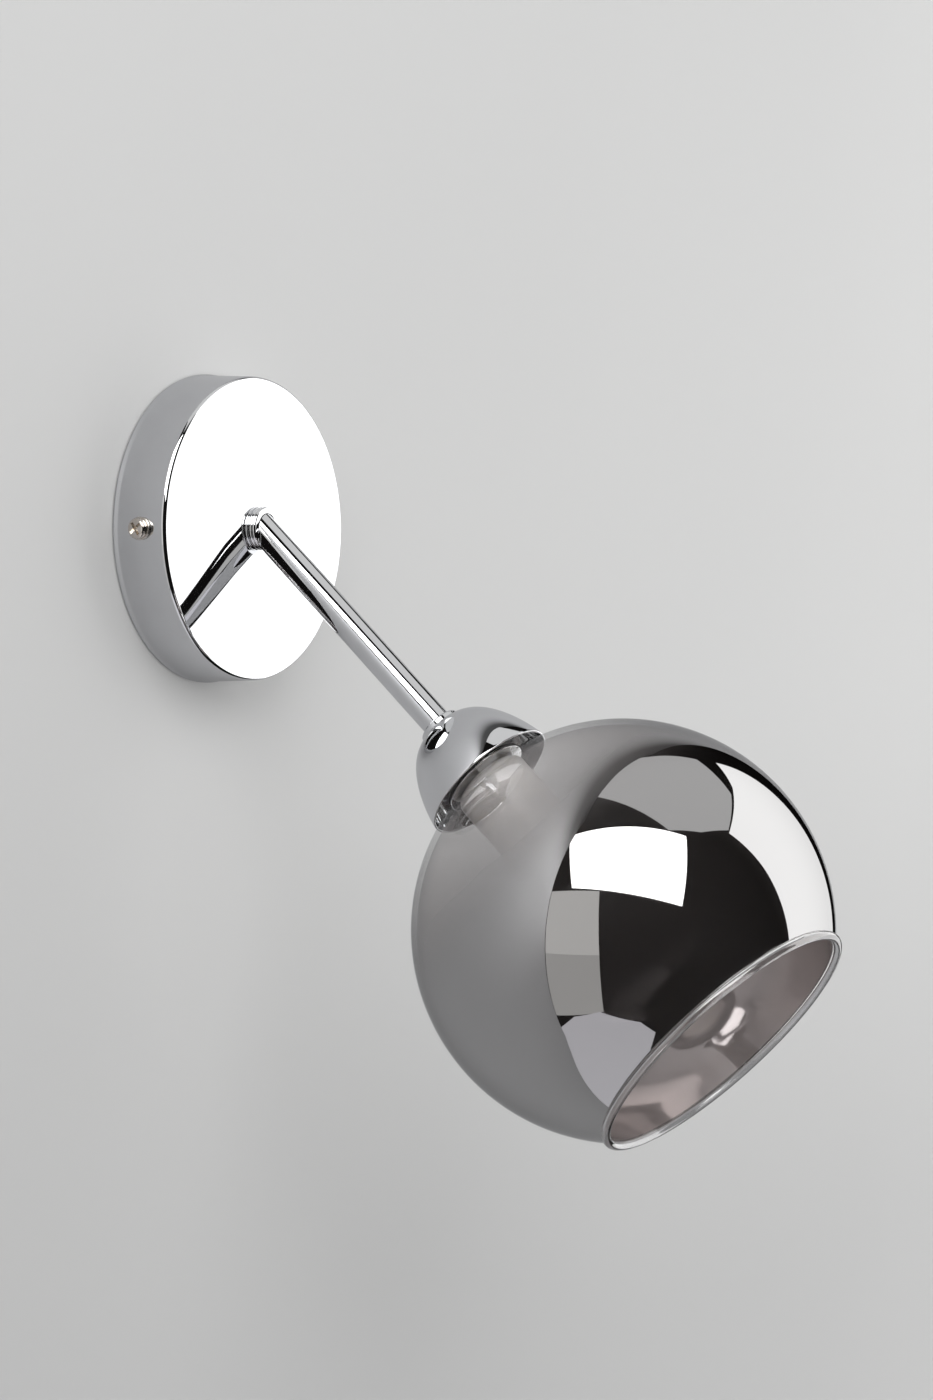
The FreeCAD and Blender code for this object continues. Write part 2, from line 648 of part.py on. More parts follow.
def block_screw():
    """Screw that fixes the connector to the strap."""
    middle = BLOCK_START + BLOCK_LENGTH / 2
    seat = STRAP_THICK + BLOCK_FLOOR
    shank = cylinder(M25_RADIUS - THREAD_CLEARANCE, LOOSE_CLEARANCE, seat + M25_HEAD_HEIGHT / 2, middle)
    head = cylinder(M25_HEAD_RADIUS, seat, seat + M25_HEAD_HEIGHT, middle)
    return on_plate(slotted(joined([shank, head]), seat + M25_HEAD_HEIGHT, M25_HEAD_RADIUS, middle))


def earth_lug_wire_level():
    """Distance from the wall of the earth wire where the lug holds it."""
    return STRAP_THICK + EARTH_WIRE_RADIUS + BARREL_WALL


def earth_lug():
    """Ring lug under the earth screw, with a crimped barrel for the wire."""
    top = STRAP_THICK + EARTH_LUG_THICK
    eye = cylinder(EARTH_LUG_RADIUS, STRAP_THICK, top, -EARTH_SCREW_OFFSET)
    level = earth_lug_wire_level()
    near = -EARTH_SCREW_OFFSET - EARTH_LUG_RADIUS
    far = near - BARREL_LENGTH
    outer = EARTH_WIRE_RADIUS + BARREL_WALL
    neck = block(far, near + OVERLAP, -outer / 2, outer / 2, STRAP_THICK, top)
    barrel = rod(outer, Vector(near, 0, level), Vector(far, 0, level))
    whole = joined([eye, neck, barrel])
    bore = rod(EARTH_WIRE_RADIUS, Vector(near + OVERLAP, 0, level), Vector(far - OVERLAP, 0, level))
    hole = cylinder(M35_RADIUS + LOOSE_CLEARANCE, 0, top + OVERLAP, -EARTH_SCREW_OFFSET)
    return on_plate(whole.cut([bore, hole]))


def earth_screw():
    """M3.5 screw that clamps the earth lug to the strap."""
    screw = m35_screw(STRAP_THICK + EARTH_LUG_THICK, LOOSE_CLEARANCE)
    return on_plate(screw.translated(Vector(-EARTH_SCREW_OFFSET, 0, 0)))


def earth_wire():
    """Bonding wire from the tag on the plate, back round to the lug on the strap."""
    high = earth_tag_wire_level()
    low = earth_lug_wire_level()
    loop = (high - low) / 2
    side = 2 * loop * math.tan(math.radians(22.5))
    turn_x = -EARTH_TAG_REACH - side
    lug_end = -EARTH_SCREW_OFFSET - EARTH_LUG_RADIUS - WIRE_END_IN_LUG
    middle = (high + low) / 2
    route = [
        Vector(BARREL_LENGTH - EARTH_TAG_REACH, 0, high),
        Vector(turn_x, 0, high),
        Vector(turn_x - loop + side / 2, 0, middle + side / 2),
        Vector(turn_x - loop + side / 2, 0, middle - side / 2),
        Vector(turn_x, 0, low),
        Vector(lug_end, 0, low),
    ]
    return on_plate(lead(route, EARTH_WIRE_RADIUS))


def supply_cores():
    """Two cores from the swivel's stub round into the connector."""
    axis_level, _ = terminal_levels()
    start = STUB_END - BODY_GAP
    drop = start - axis_level
    cores = []
    for side in (-1, 1):
        inside = BLOCK_START + BLOCK_SCREW_INSET + M25_RADIUS
        route = [
            Vector(0, side * CORE_SPREAD, start),
            Vector(0, side * CORE_SPREAD * CORE_FAN[0], axis_level + drop * CORE_BEND_SHARE),
            Vector(drop * CORE_BEND_SHARE, side * CORE_SPREAD * CORE_FAN[1], axis_level),
            Vector(BLOCK_START, side * BLOCK_POLE_OFFSET, axis_level),
            Vector(inside, side * BLOCK_POLE_OFFSET, axis_level),
        ]
        cores.append(lead(route, CORE_RADIUS))
    return on_plate(grouped(cores))


# Arm side


def swivel_collar():
    """Front ring of the collar in one piece with the hollow threaded stub."""
    return on_plate(turned([
        (STUB_BORE, STUB_END),
        (STUB_SHANK, STUB_END, THREAD_END_ROUND),
        (STUB_SHANK, COLLAR_BACK),
        (COLLAR_RADIUS, COLLAR_BACK, COLLAR_BACK_ROUND),
        (COLLAR_RADIUS, COLLAR_FRONT, COLLAR_FRONT_ROUND),
        (COLLAR_FLARE, COLLAR_FRONT),
        (STUB_BORE, COLLAR_FRONT - COLLAR_FLARE_LENGTH),
    ]))


def friction_washer():
    """Fibre washer that gives the swivel its grip."""
    front = FRICTION_BACK + FRICTION_WASHER_THICK
    return on_plate(ring(FRICTION_WASHER_RADIUS, STUB_RADIUS, FRICTION_BACK, front))


def stop_washer():
    """Washer keyed to the stub, with the tab that meets the stop pin."""
    disc = ring(STOP_WASHER_RADIUS, STUB_RADIUS, STOP_BACK, STOP_BACK + STOP_WASHER_THICK)
    half = STOP_TAB_WIDTH / 2
    start = (STUB_RADIUS + STOP_WASHER_RADIUS) / 2
    tab = block(-half, half, -STOP_TAB_REACH, -start, STOP_BACK, STOP_BACK + STOP_WASHER_THICK)
    return on_plate(joined([disc, tab]))


def swivel_nut():
    """Thin nut on the stub."""
    return on_plate(hexagon(SWIVEL_NUT_FLATS, STUB_RADIUS, SWIVEL_NUT_BACK, STOP_BACK))


def room_side(distance):
    """Half space in front of a plane parallel to the wall, as a large box."""
    size = 4 * (ARM_REACH + GLOBE_RADIUS)
    return block(-size, size, -distance - size, -distance, -size, size)


def arm_tube():
    """Tube mitred onto the collar's front, threaded inside at its lower end."""
    tube = cylinder(ARM_RADIUS, -4 * ARM_RADIUS, TUBE_END)
    bore = cylinder(ARM_BORE, -5 * ARM_RADIUS, TUBE_END + OVERLAP)
    thread = cylinder(NIPPLE_RADIUS, TUBE_END - TUBE_THREAD_LENGTH, TUBE_END + OVERLAP)
    return on_arm(tube.cut([bore, thread])).common(room_side(COLLAR_FRONT))


def cap_nipple():
    """Hollow threaded nipple that carries the cap, the globe and the lamp holder."""
    return on_arm(turned([(NIPPLE_BORE, NIPPLE_START), (NIPPLE_SHANK, NIPPLE_START, THREAD_END_ROUND),
                          (NIPPLE_SHANK, NIPPLE_END, THREAD_END_ROUND), (NIPPLE_BORE, NIPPLE_END)]))


def dome_point(radius, height, fraction):
    """Point of a dome: fraction 0 is its rim and 1 its pole."""
    return Vector(radius * (1 - fraction ** DOME_POWER) ** DOME_ROOT, 0, CAP_RIM - height * fraction)


def dome_solid(radius, height):
    """Solid of revolution under the dome's curve, closed at the rim."""
    fractions = (0.0, 0.06, 0.18, 0.34, 0.52, 0.7, 0.85, 0.94, 0.985, 1.0)
    curve = Part.BSplineCurve()
    curve.interpolate([dome_point(radius, height, fraction) for fraction in fractions])
    rim = Vector(radius, 0, CAP_RIM)
    centre = Vector(0, 0, CAP_RIM)
    pole = Vector(0, 0, CAP_RIM - height)
    closing = [Part.LineSegment(pole, centre).toShape(), Part.LineSegment(centre, rim).toShape()]
    return turned_wire(Part.Wire([curve.toShape()] + closing))


def bell_cap():
    """Spun cap with a thick turned top that seats on the tube's end."""
    neck = turned([(0, CAP_TOP), (CAP_NECK_RADIUS, CAP_TOP, CAP_NECK_ROUND),
                   (CAP_NECK_RADIUS, CAP_POLE + CAP_NECK_ROUND), (0, CAP_POLE + CAP_NECK_ROUND)])
    outside = dome_solid(CAP_DOME_RADIUS, CAP_DOME_HEIGHT)
    inside = dome_solid(CAP_DOME_RADIUS - CAP_WALL, CAP_DOME_HEIGHT - CAP_WALL)
    inside = inside.cut(cylinder(CAP_DOME_RADIUS, CAP_POLE - OVERLAP, CAP_INSIDE))
    foot = cylinder(CAP_DOME_RADIUS - CAP_WALL, CAP_RIM - OVERLAP / 10, CAP_RIM + OVERLAP)
    seat = cylinder(ARM_RADIUS + THREAD_CLEARANCE, CAP_TOP - OVERLAP, TUBE_END)
    hole = cylinder(NIPPLE_RADIUS + THREAD_CLEARANCE, CAP_TOP - OVERLAP, CAP_INSIDE + OVERLAP)
    return on_arm(joined([outside, neck]).cut([inside, foot, seat, hole]))


def cap_washer():
    """Washer under the cap's nut."""
    return on_arm(ring(CAP_WASHER_RADIUS, NIPPLE_RADIUS, CAP_INSIDE, CAP_INSIDE + CAP_WASHER_THICK))


def cap_nut():
    """Nut that pulls the cap up against the tube's end."""
    low = CAP_INSIDE + CAP_WASHER_THICK
    return on_arm(hexagon(NIPPLE_NUT_FLATS, NIPPLE_RADIUS, low, low + CAP_NUT_HEIGHT))


def support_nut():
    """Thin nut behind the globe's seat."""
    return on_arm(hexagon(NIPPLE_NUT_FLATS, NIPPLE_RADIUS, SUPPORT_NUT_TOP, SEAT_DISC_TOP))


def seat_disc():
    """Disc that the globe is clamped up against."""
    return on_arm(ring(SEAT_DISC_RADIUS, NIPPLE_RADIUS, SEAT_DISC_TOP, UPPER_GASKET_TOP, DISC_EDGE))


def upper_gasket():
    """Soft ring above the globe's flat top."""
    return on_arm(ring(GASKET_RADIUS, NECK_HOLE, UPPER_GASKET_TOP, GLOBE_TOP))


def lower_gasket():
    """Soft ring below the globe's flat top."""
    return on_arm(ring(GASKET_RADIUS, NECK_HOLE, LOWER_GASKET_TOP, CLAMP_DISC_TOP))


def clamp_disc():
    """Disc that the lamp holder presses up against the globe."""
    return on_arm(ring(CLAMP_DISC_RADIUS, NIPPLE_RADIUS, CLAMP_DISC_TOP, HOLDER_TOP, DISC_EDGE))


def arc_between(centre, radius, start_angle, end_angle):
    """Arc in the xz plane about a centre, between two angles in radians from +x towards +z."""
    points = []
    for angle in (start_angle, (start_angle + end_angle) / 2, end_angle):
        points.append(centre + Vector(radius * math.cos(angle), 0, radius * math.sin(angle)))
    return Part.Arc(*points)


def globe_glass():
    """Blown globe: flat clamped top, short neck, sphere, and a mouth that opens out to a thin bead."""
    centre = Vector(0, 0, GLOBE_CENTRE)
    inner_radius = GLOBE_RADIUS - GLOBE_WALL
    inner_neck = NECK_RADIUS - GLOBE_WALL
    fillet_r = NECK_RADIUS + NECK_FILLET
    fillet_drop = math.sqrt((GLOBE_RADIUS + NECK_FILLET) ** 2 - fillet_r ** 2)
    fillet_centre = Vector(fillet_r, 0, GLOBE_CENTRE - fillet_drop)
    neck_angle = math.atan2(-fillet_drop, fillet_r)
    away = math.pi + neck_angle
    bead_reach = GLOBE_RADIUS + BEAD_PROUD
    mouth_angle = math.acos(MOUTH_RADIUS / bead_reach)
    bead_centre = Vector(MOUTH_RADIUS, 0, GLOBE_CENTRE + bead_reach * math.sin(mouth_angle))
    outer_angle = mouth_angle - math.acos((GLOBE_RADIUS ** 2 + bead_reach ** 2 - BEAD_RADIUS ** 2)
                                          / (2 * GLOBE_RADIUS * bead_reach))
    lip_angle = mouth_angle - math.acos((inner_radius + BEAD_RADIUS) / bead_reach)
    lip_foot = bead_centre - Vector(math.cos(lip_angle), 0, math.sin(lip_angle)) * BEAD_RADIUS
    outer_sphere = arc_between(centre, GLOBE_RADIUS, neck_angle, outer_angle)
    inner_sphere = arc_between(centre, inner_radius, lip_angle, neck_angle)
    outer_fillet = arc_between(fillet_centre, NECK_FILLET, math.pi, away)
    inner_fillet = arc_between(fillet_centre, NECK_FILLET + GLOBE_WALL, away, math.pi)
    bead_far = bead_centre + Vector(math.cos(mouth_angle + math.pi / 2), 0,
                                    math.sin(mouth_angle + math.pi / 2)) * BEAD_RADIUS
    bead = Part.Arc(outer_sphere.EndPoint, bead_far, lip_foot)
    shoulder = NECK_RADIUS - NECK_SHOULDER
    shoulder_centre = Vector(shoulder, 0, GLOBE_TOP + NECK_SHOULDER)
    inner_round = NECK_SHOULDER - GLOBE_WALL
    outer_shoulder = arc_between(shoulder_centre, NECK_SHOULDER, -math.pi / 2, 0)
    inner_shoulder = arc_between(shoulder_centre, inner_round, 0, -math.pi / 2)
    hole_top = Vector(NECK_HOLE, 0, GLOBE_TOP)
    hole_foot = Vector(NECK_HOLE, 0, GLOBE_TOP + GLOBE_WALL)
    pieces = [
        Part.LineSegment(hole_top, outer_shoulder.StartPoint),
        outer_shoulder,
        Part.LineSegment(outer_shoulder.EndPoint, outer_fillet.StartPoint),
        outer_fillet,
        outer_sphere,
        bead,
        Part.LineSegment(lip_foot, inner_sphere.StartPoint),
        inner_sphere,
        inner_fillet,
        Part.LineSegment(Vector(inner_neck, 0, fillet_centre.z), Vector(inner_neck, 0, shoulder_centre.z)),
        inner_shoulder,
        Part.LineSegment(inner_shoulder.EndPoint, hole_foot),
        Part.LineSegment(hole_foot, hole_top),
    ]
    return on_arm(turned_wire(Part.Wire([piece.toShape() for piece in pieces])))


def holder_cap():
    """Domed top of the lamp holder, screwed on the nipple, with a spigot for the shell."""
    spigot = HOLDER_INSIDE - THREAD_CLEARANCE
    hollow = spigot - SPIGOT_WALL
    boss_end = NIPPLE_END + HOLDER_BOSS_PAST_NIPPLE
    return on_arm(turned([
        (NIPPLE_RADIUS, HOLDER_TOP),
        (HOLDER_DOME_TOP, HOLDER_TOP, HOLDER_TOP_ROUND),
        (HOLDER_RADIUS, HOLDER_TOP + HOLDER_TOP_FALL, HOLDER_DOME_ROUND),
        (HOLDER_RADIUS, HOLDER_SEAM),
        (spigot, HOLDER_SEAM),
        (spigot, HOLDER_SEAM + SPIGOT_LENGTH),
        (hollow, HOLDER_SEAM + SPIGOT_LENGTH),
        (hollow, HOLDER_TOP + HOLDER_FLOOR, HOLDER_HOLLOW_ROUND),
        (NIPPLE_RADIUS + HOLDER_WALL, HOLDER_TOP + HOLDER_FLOOR),
        (NIPPLE_RADIUS + HOLDER_WALL, boss_end),
        (NIPPLE_RADIUS, boss_end),
    ]))


def holder_shell():
    """Smooth sleeve and threaded skirt of the lamp holder."""
    corners = [(HOLDER_INSIDE, HOLDER_SEAM), (HOLDER_RADIUS, HOLDER_SEAM),
               (HOLDER_RADIUS, SKIRT_TOP), (SKIRT_RADIUS, SKIRT_TOP, SKIRT_STEP_ROUND)]
    level = SKIRT_TOP + SKIRT_LEAD_IN
    flank = (THREAD_PITCH - THREAD_LAND) / 2
    root = SKIRT_RADIUS - THREAD_DEPTH
    for _ in range(THREAD_TURNS):
        corners.append((SKIRT_RADIUS, level))
        corners.append((root, level + flank))
        corners.append((SKIRT_RADIUS, level + 2 * flank))
        level += THREAD_PITCH
    corners += [
        (SKIRT_RADIUS, HOLDER_END, HOLDER_END_ROUND),
        (ENTRY_RADIUS, HOLDER_END, HOLDER_END_ROUND),
        (ENTRY_RADIUS, HOLDER_END - ENTRY_DEPTH),
        (HOLDER_INSIDE, HOLDER_END - ENTRY_DEPTH),
    ]
    return on_arm(turned(corners))


def holder_insert():
    """Insulating core of the lamp holder, with a pocket for each terminal."""
    core = cylinder(INSERT_RADIUS, INSERT_TOP, INSERT_END)
    tools = [cylinder(SHELL_OUTSIDE + THREAD_CLEARANCE, SOCKET_FLOOR, INSERT_END + OVERLAP)]
    half = POCKET_WIDTH / 2
    for side in (-1, 1):
        near, far = sorted((side * POCKET_START, side * (INSERT_RADIUS + OVERLAP)))
        tools.append(block(-half, half, near, far, INSERT_TOP - OVERLAP, INSERT_TOP + POCKET_DEPTH))
        tools.append(cylinder(RIVET_RADIUS + THREAD_CLEARANCE, INSERT_TOP, SOCKET_FLOOR + OVERLAP,
                              0, side * TERMINAL_OFFSET))
    return on_arm(core.cut(tools))


def terminal_foot():
    """Level of the terminals' foot, the floor of their pockets."""
    return INSERT_TOP + POCKET_DEPTH


def holder_terminals():
    """Brass terminals in the lamp holder's pockets."""
    foot = terminal_foot()
    top = foot - TERMINAL_HEIGHT
    half = TERMINAL_WIDTH / 2
    screw_level = (foot + top) / 2
    terminals = []
    for side in (-1, 1):
        near, far = sorted((side * TERMINAL_START, side * TERMINAL_END))
        body = block(-half, half, near, far, top, foot)
        wire_hole = cylinder(CORE_RADIUS + THREAD_CLEARANCE, top - OVERLAP, foot - WIRE_HOLE_FLOOR,
                             0, side * TERMINAL_OFFSET)
        screw_hole = rod(M25_RADIUS, Vector(0, side * TERMINAL_OFFSET, screw_level),
                         Vector(0, side * (TERMINAL_END + OVERLAP), screw_level))
        terminals.append(body.cut([wire_hole, screw_hole]))
    return on_arm(grouped(terminals))


def holder_screws():
    """Clamping screws of the lamp holder's terminals."""
    foot = terminal_foot()
    screw_level = foot - TERMINAL_HEIGHT / 2
    tip = TERMINAL_OFFSET + CORE_RADIUS
    end = TERMINAL_END + HOLDER_SCREW_HEAD_HEIGHT
    one = joined([cylinder(M25_RADIUS - THREAD_CLEARANCE, tip, end),
                  cylinder(HOLDER_SCREW_HEAD, TERMINAL_END, end)])
    one = slotted(one, end, HOLDER_SCREW_HEAD)
    screws = []
    for side in (-1, 1):
        laid = one.rotated(Vector(0, 0, 0), Vector(1, 0, 0), -90 * side)
        screws.append(laid.translated(Vector(0, 0, screw_level)))
    return on_arm(grouped(screws))


def contact_rivets():
    """Rivets that carry the current through the insert's floor."""
    foot = terminal_foot()
    rivets = []
    for side in (-1, 1):
        clamped = SHELL_SHEET if side > 0 else 0.0
        under = SOCKET_FLOOR + clamped
        pin = cylinder(RIVET_RADIUS, foot, under + RIVET_HEAD_HEIGHT / 2, 0, side * TERMINAL_OFFSET)
        head = cylinder(RIVET_HEAD_RADIUS, under, under + RIVET_HEAD_HEIGHT, 0, side * TERMINAL_OFFSET)
        rivets.append(joined([pin, head]))
    return on_arm(grouped(rivets))


def screw_shell():
    """Rolled brass shell that takes the lamp's screw cap, with its riveted tab."""
    inner = []
    level = SHELL_TOP
    quarter = SHELL_PITCH / 4
    crest = SHELL_CREST_RADIUS
    root = SHELL_CREST_RADIUS + SHELL_WAVE
    for _ in range(SHELL_WAVES):
        inner += [
            (root, level, SHELL_WAVE_ROUND),
            (crest, level + quarter, SHELL_WAVE_ROUND),
            (crest, level + 2 * quarter, SHELL_WAVE_ROUND),
            (root, level + 3 * quarter, SHELL_WAVE_ROUND),
        ]
        level += SHELL_PITCH
    inner[0] = (root, SOCKET_FLOOR)
    inner.insert(1, (root, SHELL_TOP, SHELL_WAVE_ROUND))
    inner.append((root, level))
    outer = [(radius + SHELL_SHEET, height, *rest) for radius, height, *rest in reversed(inner)]
    shell = turned(inner + outer)
    half = SHELL_TAB_WIDTH / 2
    tab = block(-half, half, SHELL_TAB_START, root + SHELL_SHEET, SOCKET_FLOOR, SOCKET_FLOOR + SHELL_SHEET)
    tab = tab.common(cylinder(root + SHELL_SHEET / 2, SOCKET_FLOOR, SHELL_TOP))
    hole = cylinder(RIVET_RADIUS + THREAD_CLEARANCE, SOCKET_FLOOR - OVERLAP, SHELL_TOP, 0, TERMINAL_OFFSET)
    return on_arm(joined([shell, tab]).cut(hole))


def tongue_level():
    """Level of the tongue's underside at its root, clear above its rivet."""
    return SOCKET_FLOOR + RIVET_HEAD_HEIGHT + BODY_GAP


def centre_contact():
    """Sprung tongue that meets the lamp's tip, bent up from its root to the holder's axis."""
    low = tongue_level()
    high = low + TONGUE_RISE
    half = TONGUE_WIDTH / 2
    outline = [
        (TONGUE_ROOT, low),
        (TONGUE_BEND, low, TONGUE_ROOT_ROUND + TONGUE_SHEET),
        (0, high, TONGUE_CREST_ROUND),
        (TONGUE_TIP, high - TONGUE_TIP_FALL), (TONGUE_TIP, high - TONGUE_TIP_FALL + TONGUE_SHEET),
        (0, high + TONGUE_SHEET, TONGUE_CREST_ROUND + TONGUE_SHEET),
        (TONGUE_BEND, low + TONGUE_SHEET, TONGUE_ROOT_ROUND), (TONGUE_ROOT, low + TONGUE_SHEET),
    ]
    strip = Part.Face(rounded_wire(outline)).extrude(Vector(0, TONGUE_WIDTH, 0))
    strip = outward(strip).translated(Vector(0, -half, 0))
    return on_arm(strip.rotated(Vector(0, 0, 0), AXIS, 90))


def lamp_lead():
    """Sheathed lead through the stub, round the elbow and down the tube."""
    drop = math.radians(ARM_DROP)
    down_arm = Vector(0, -math.cos(drop), -math.sin(drop))
    elbow = Vector(0, -ELBOW_LEVEL, 0)
    return lead([Vector(0, -STUB_END, 0), elbow, elbow + down_arm * LEAD_END], LEAD_RADIUS)


def lamp_cores():
    """The lead's two cores, fanned out into the lamp holder's terminals."""
    foot = terminal_foot() - CORE_END_IN_TERMINAL
    fan_start = NIPPLE_END + FAN_STARTS
    fan_end = terminal_foot() - TERMINAL_HEIGHT - FAN_ENDS
    cores = []
    for side in (-1, 1):
        near, far = side * CORE_SPREAD, side * TERMINAL_OFFSET
        route = [
            Vector(0, near, LEAD_END),
            Vector(0, near, fan_start),
            Vector(0, far, fan_end),
            Vector(0, far, foot),
        ]
        cores.append(lead(route, CORE_RADIUS))
    return on_arm(grouped(cores))


PIECES = {
    "wall_bracket": wall_bracket,
    "backplate": backplate,
    "side_screw_left": lambda: side_screw(-1),
    "side_screw_right": lambda: side_screw(1),
    "side_washers": side_washers,
    "base_ring": base_ring,
    "earth_tag": earth_tag,
    "stop_pin": stop_pin,
    "terminal_block": terminal_block,
    "terminal_tubes": terminal_tubes,
    "terminal_screws": terminal_screws,
    "block_screw": block_screw,
    "earth_lug": earth_lug,
    "earth_screw": earth_screw,
    "earth_wire": earth_wire,
    "supply_cores": supply_cores,
    "swivel_collar": swivel_collar,
    "friction_washer": friction_washer,
    "stop_washer": stop_washer,
    "swivel_nut": swivel_nut,
    "arm_tube": arm_tube,
    "cap_nipple": cap_nipple,
    "bell_cap": bell_cap,
    "cap_washer": cap_washer,
    "cap_nut": cap_nut,
    "support_nut": support_nut,
    "seat_disc": seat_disc,
    "upper_gasket": upper_gasket,
    "globe_glass": globe_glass,
    "lower_gasket": lower_gasket,
    "clamp_disc": clamp_disc,
    "holder_cap": holder_cap,
    "holder_shell": holder_shell,
    "holder_insert": holder_insert,
    "holder_terminals": holder_terminals,
    "holder_screws": holder_screws,
    "contact_rivets": contact_rivets,
    "screw_shell": screw_shell,
    "centre_contact": centre_contact,
    "lamp_lead": lamp_lead,
    "lamp_cores": lamp_cores,
}

os.makedirs("parts", exist_ok=True)
for name, make in PIECES.items():
    shape = make()
    shape.exportStep("parts/" + name + ".step")
    print(name, "solids", len(shape.Solids), "valid", shape.isValid(), "volume", round(shape.Volume, 1))
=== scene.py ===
# %% [markdown]
# A globe wall light in polished chrome, with an open globe of smoke mirror glass.
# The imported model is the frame: each piece made here stands in the same place, in metres,
# and replaces the plain solid that it dresses. Lengths are written in millimetres.

# %% Load the frame
import json
import math

import bmesh
import bpy
from mathutils import Matrix, Vector


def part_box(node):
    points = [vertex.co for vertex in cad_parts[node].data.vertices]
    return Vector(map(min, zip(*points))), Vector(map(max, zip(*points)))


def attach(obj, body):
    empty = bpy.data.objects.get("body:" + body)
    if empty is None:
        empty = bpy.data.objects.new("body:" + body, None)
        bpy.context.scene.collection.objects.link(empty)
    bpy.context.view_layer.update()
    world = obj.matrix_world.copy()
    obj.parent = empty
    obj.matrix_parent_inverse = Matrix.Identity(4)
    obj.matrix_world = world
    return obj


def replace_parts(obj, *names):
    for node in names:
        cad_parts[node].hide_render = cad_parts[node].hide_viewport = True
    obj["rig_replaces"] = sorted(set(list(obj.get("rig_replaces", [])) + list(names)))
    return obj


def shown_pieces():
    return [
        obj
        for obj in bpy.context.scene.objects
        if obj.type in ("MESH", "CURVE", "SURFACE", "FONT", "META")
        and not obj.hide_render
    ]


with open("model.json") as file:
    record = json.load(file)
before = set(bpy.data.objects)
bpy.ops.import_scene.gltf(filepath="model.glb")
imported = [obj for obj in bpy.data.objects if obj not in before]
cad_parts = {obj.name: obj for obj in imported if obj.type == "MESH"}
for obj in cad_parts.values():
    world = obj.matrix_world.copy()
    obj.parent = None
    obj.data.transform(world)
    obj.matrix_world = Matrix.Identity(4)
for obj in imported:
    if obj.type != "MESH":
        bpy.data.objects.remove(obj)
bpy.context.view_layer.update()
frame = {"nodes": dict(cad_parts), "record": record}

MM = 0.001
MICRON = 0.000001
FULL_TURN = 2 * math.pi

# %% [markdown]
# The camera stands where the photograph was taken from: left of the light, level with the plate.
# A long lens keeps the plate's circle and the globe nearly free of perspective.

# %% Camera
PHOTO_HEIGHT = 1400
FOCAL_PIXELS = 3300.0
CAMERA_PLACE = (-0.86349, -0.64460, -0.00297)
CAMERA_AZIMUTH, CAMERA_RISE = -57.72, 2.81


def towards(azimuth, elevation):
    """Unit vector from the light towards an azimuth and elevation, in degrees."""
    a, e = math.radians(azimuth), math.radians(elevation)
    return Vector((math.sin(a) * math.cos(e), -math.cos(a) * math.cos(e), math.sin(e)))


def new_object(name, data):
    made = bpy.data.objects.new(name, data)
    bpy.context.scene.collection.objects.link(made)
    return made


def look_against(obj, way):
    """Turn a camera or a lamp so that it looks against a direction."""
    obj.rotation_euler = (-way).to_track_quat("-Z", "Y").to_euler()


camera_data = bpy.data.cameras.new("photo_camera")
camera_data.lens = FOCAL_PIXELS / PHOTO_HEIGHT * camera_data.sensor_width
camera_data.clip_start = 0.02
camera_data.clip_end = 30.0
camera = new_object("photo_camera", camera_data)
camera.location = CAMERA_PLACE
look_against(camera, towards(CAMERA_AZIMUTH, CAMERA_RISE))
bpy.context.scene.camera = camera
bpy.context.scene.view_settings.view_transform = "Standard"
print("camera has a lens of", round(camera_data.lens, 1), "mm")

# %% [markdown]
# Node trees are long to write out, so two small classes do it. A Value wraps one output socket and
# turns Python sums into Math nodes. A Board adds any node from its type, its settings and its
# inputs.

# %% Node helpers


def signs(operation):
    """A sign's two methods, for a Value on its left and on its right."""
    return (lambda value, other: value.board.maths(operation, value, other),
            lambda value, other: value.board.maths(operation, other, value))


class Value:
    """One output socket. Sums on it add Math nodes to its tree."""

    __add__, __radd__ = signs("ADD")
    __sub__, __rsub__ = signs("SUBTRACT")
    __mul__, __rmul__ = signs("MULTIPLY")
    __truediv__, __rtruediv__ = signs("DIVIDE")
    __pow__, __rpow__ = signs("POWER")

    def __init__(self, board, socket):
        self.board = board
        self.socket = socket

    def then(self, operation, *others):
        """Any Math node on this value, such as its FLOOR, or the MAXIMUM of it and another."""
        return self.board.maths(operation, self, *others)


class Board:
    """A node tree, and the one way in which nodes are added to it."""

    def __init__(self, tree):
        self.tree = tree

    def node(self, kind, settings=None, inputs=None, output=0):
        made = self.tree.nodes.new(kind)
        for name, value in (settings or {}).items():
            setattr(made, name, value)
        for name, value in (inputs or {}).items():
            self.feed(made.inputs[name], value)
        return Value(self, made.outputs[output]) if made.outputs else made

    def feed(self, socket, value):
        if isinstance(value, Value):
            self.tree.links.new(value.socket, socket)
        elif isinstance(value, list):
            for one in value:
                self.tree.links.new(one.socket, socket)
        else:
            socket.default_value = value

    def maths(self, operation, *values):
        return self.node("ShaderNodeMath", {"operation": operation}, dict(enumerate(values)))

    def point(self, x, y, z):
        return self.node("ShaderNodeCombineXYZ", inputs={0: x, 1: y, 2: z})

    def split(self, vector):
        parts = self.node("ShaderNodeSeparateXYZ", inputs={0: vector})
        outputs = parts.socket.node.outputs
        return [Value(self, outputs[n]) for n in range(3)]

    def length(self, *parts):
        """Length of a vector, from its parts."""
        squares = [part * part for part in parts]
        return sum(squares[1:], squares[0]).then("SQRT")

    def ease(self, value, low, high, start=0.0, end=1.0):
        """Smooth step from start to end as value goes from low to high."""
        return self.node("ShaderNodeMapRange", {"interpolation_type": "SMOOTHSTEP"},
                         {0: value, 1: low, 2: high, 3: start, 4: end})


# %% [markdown]
# Nearly every piece of the light is turned: spun, drawn or blown round one axis. One Geometry Nodes
# tree makes them all. Its input is the profile as a row of points, x for the radius and z for the
# level, and it swings that row round the z axis, then welds the seam and the poles.

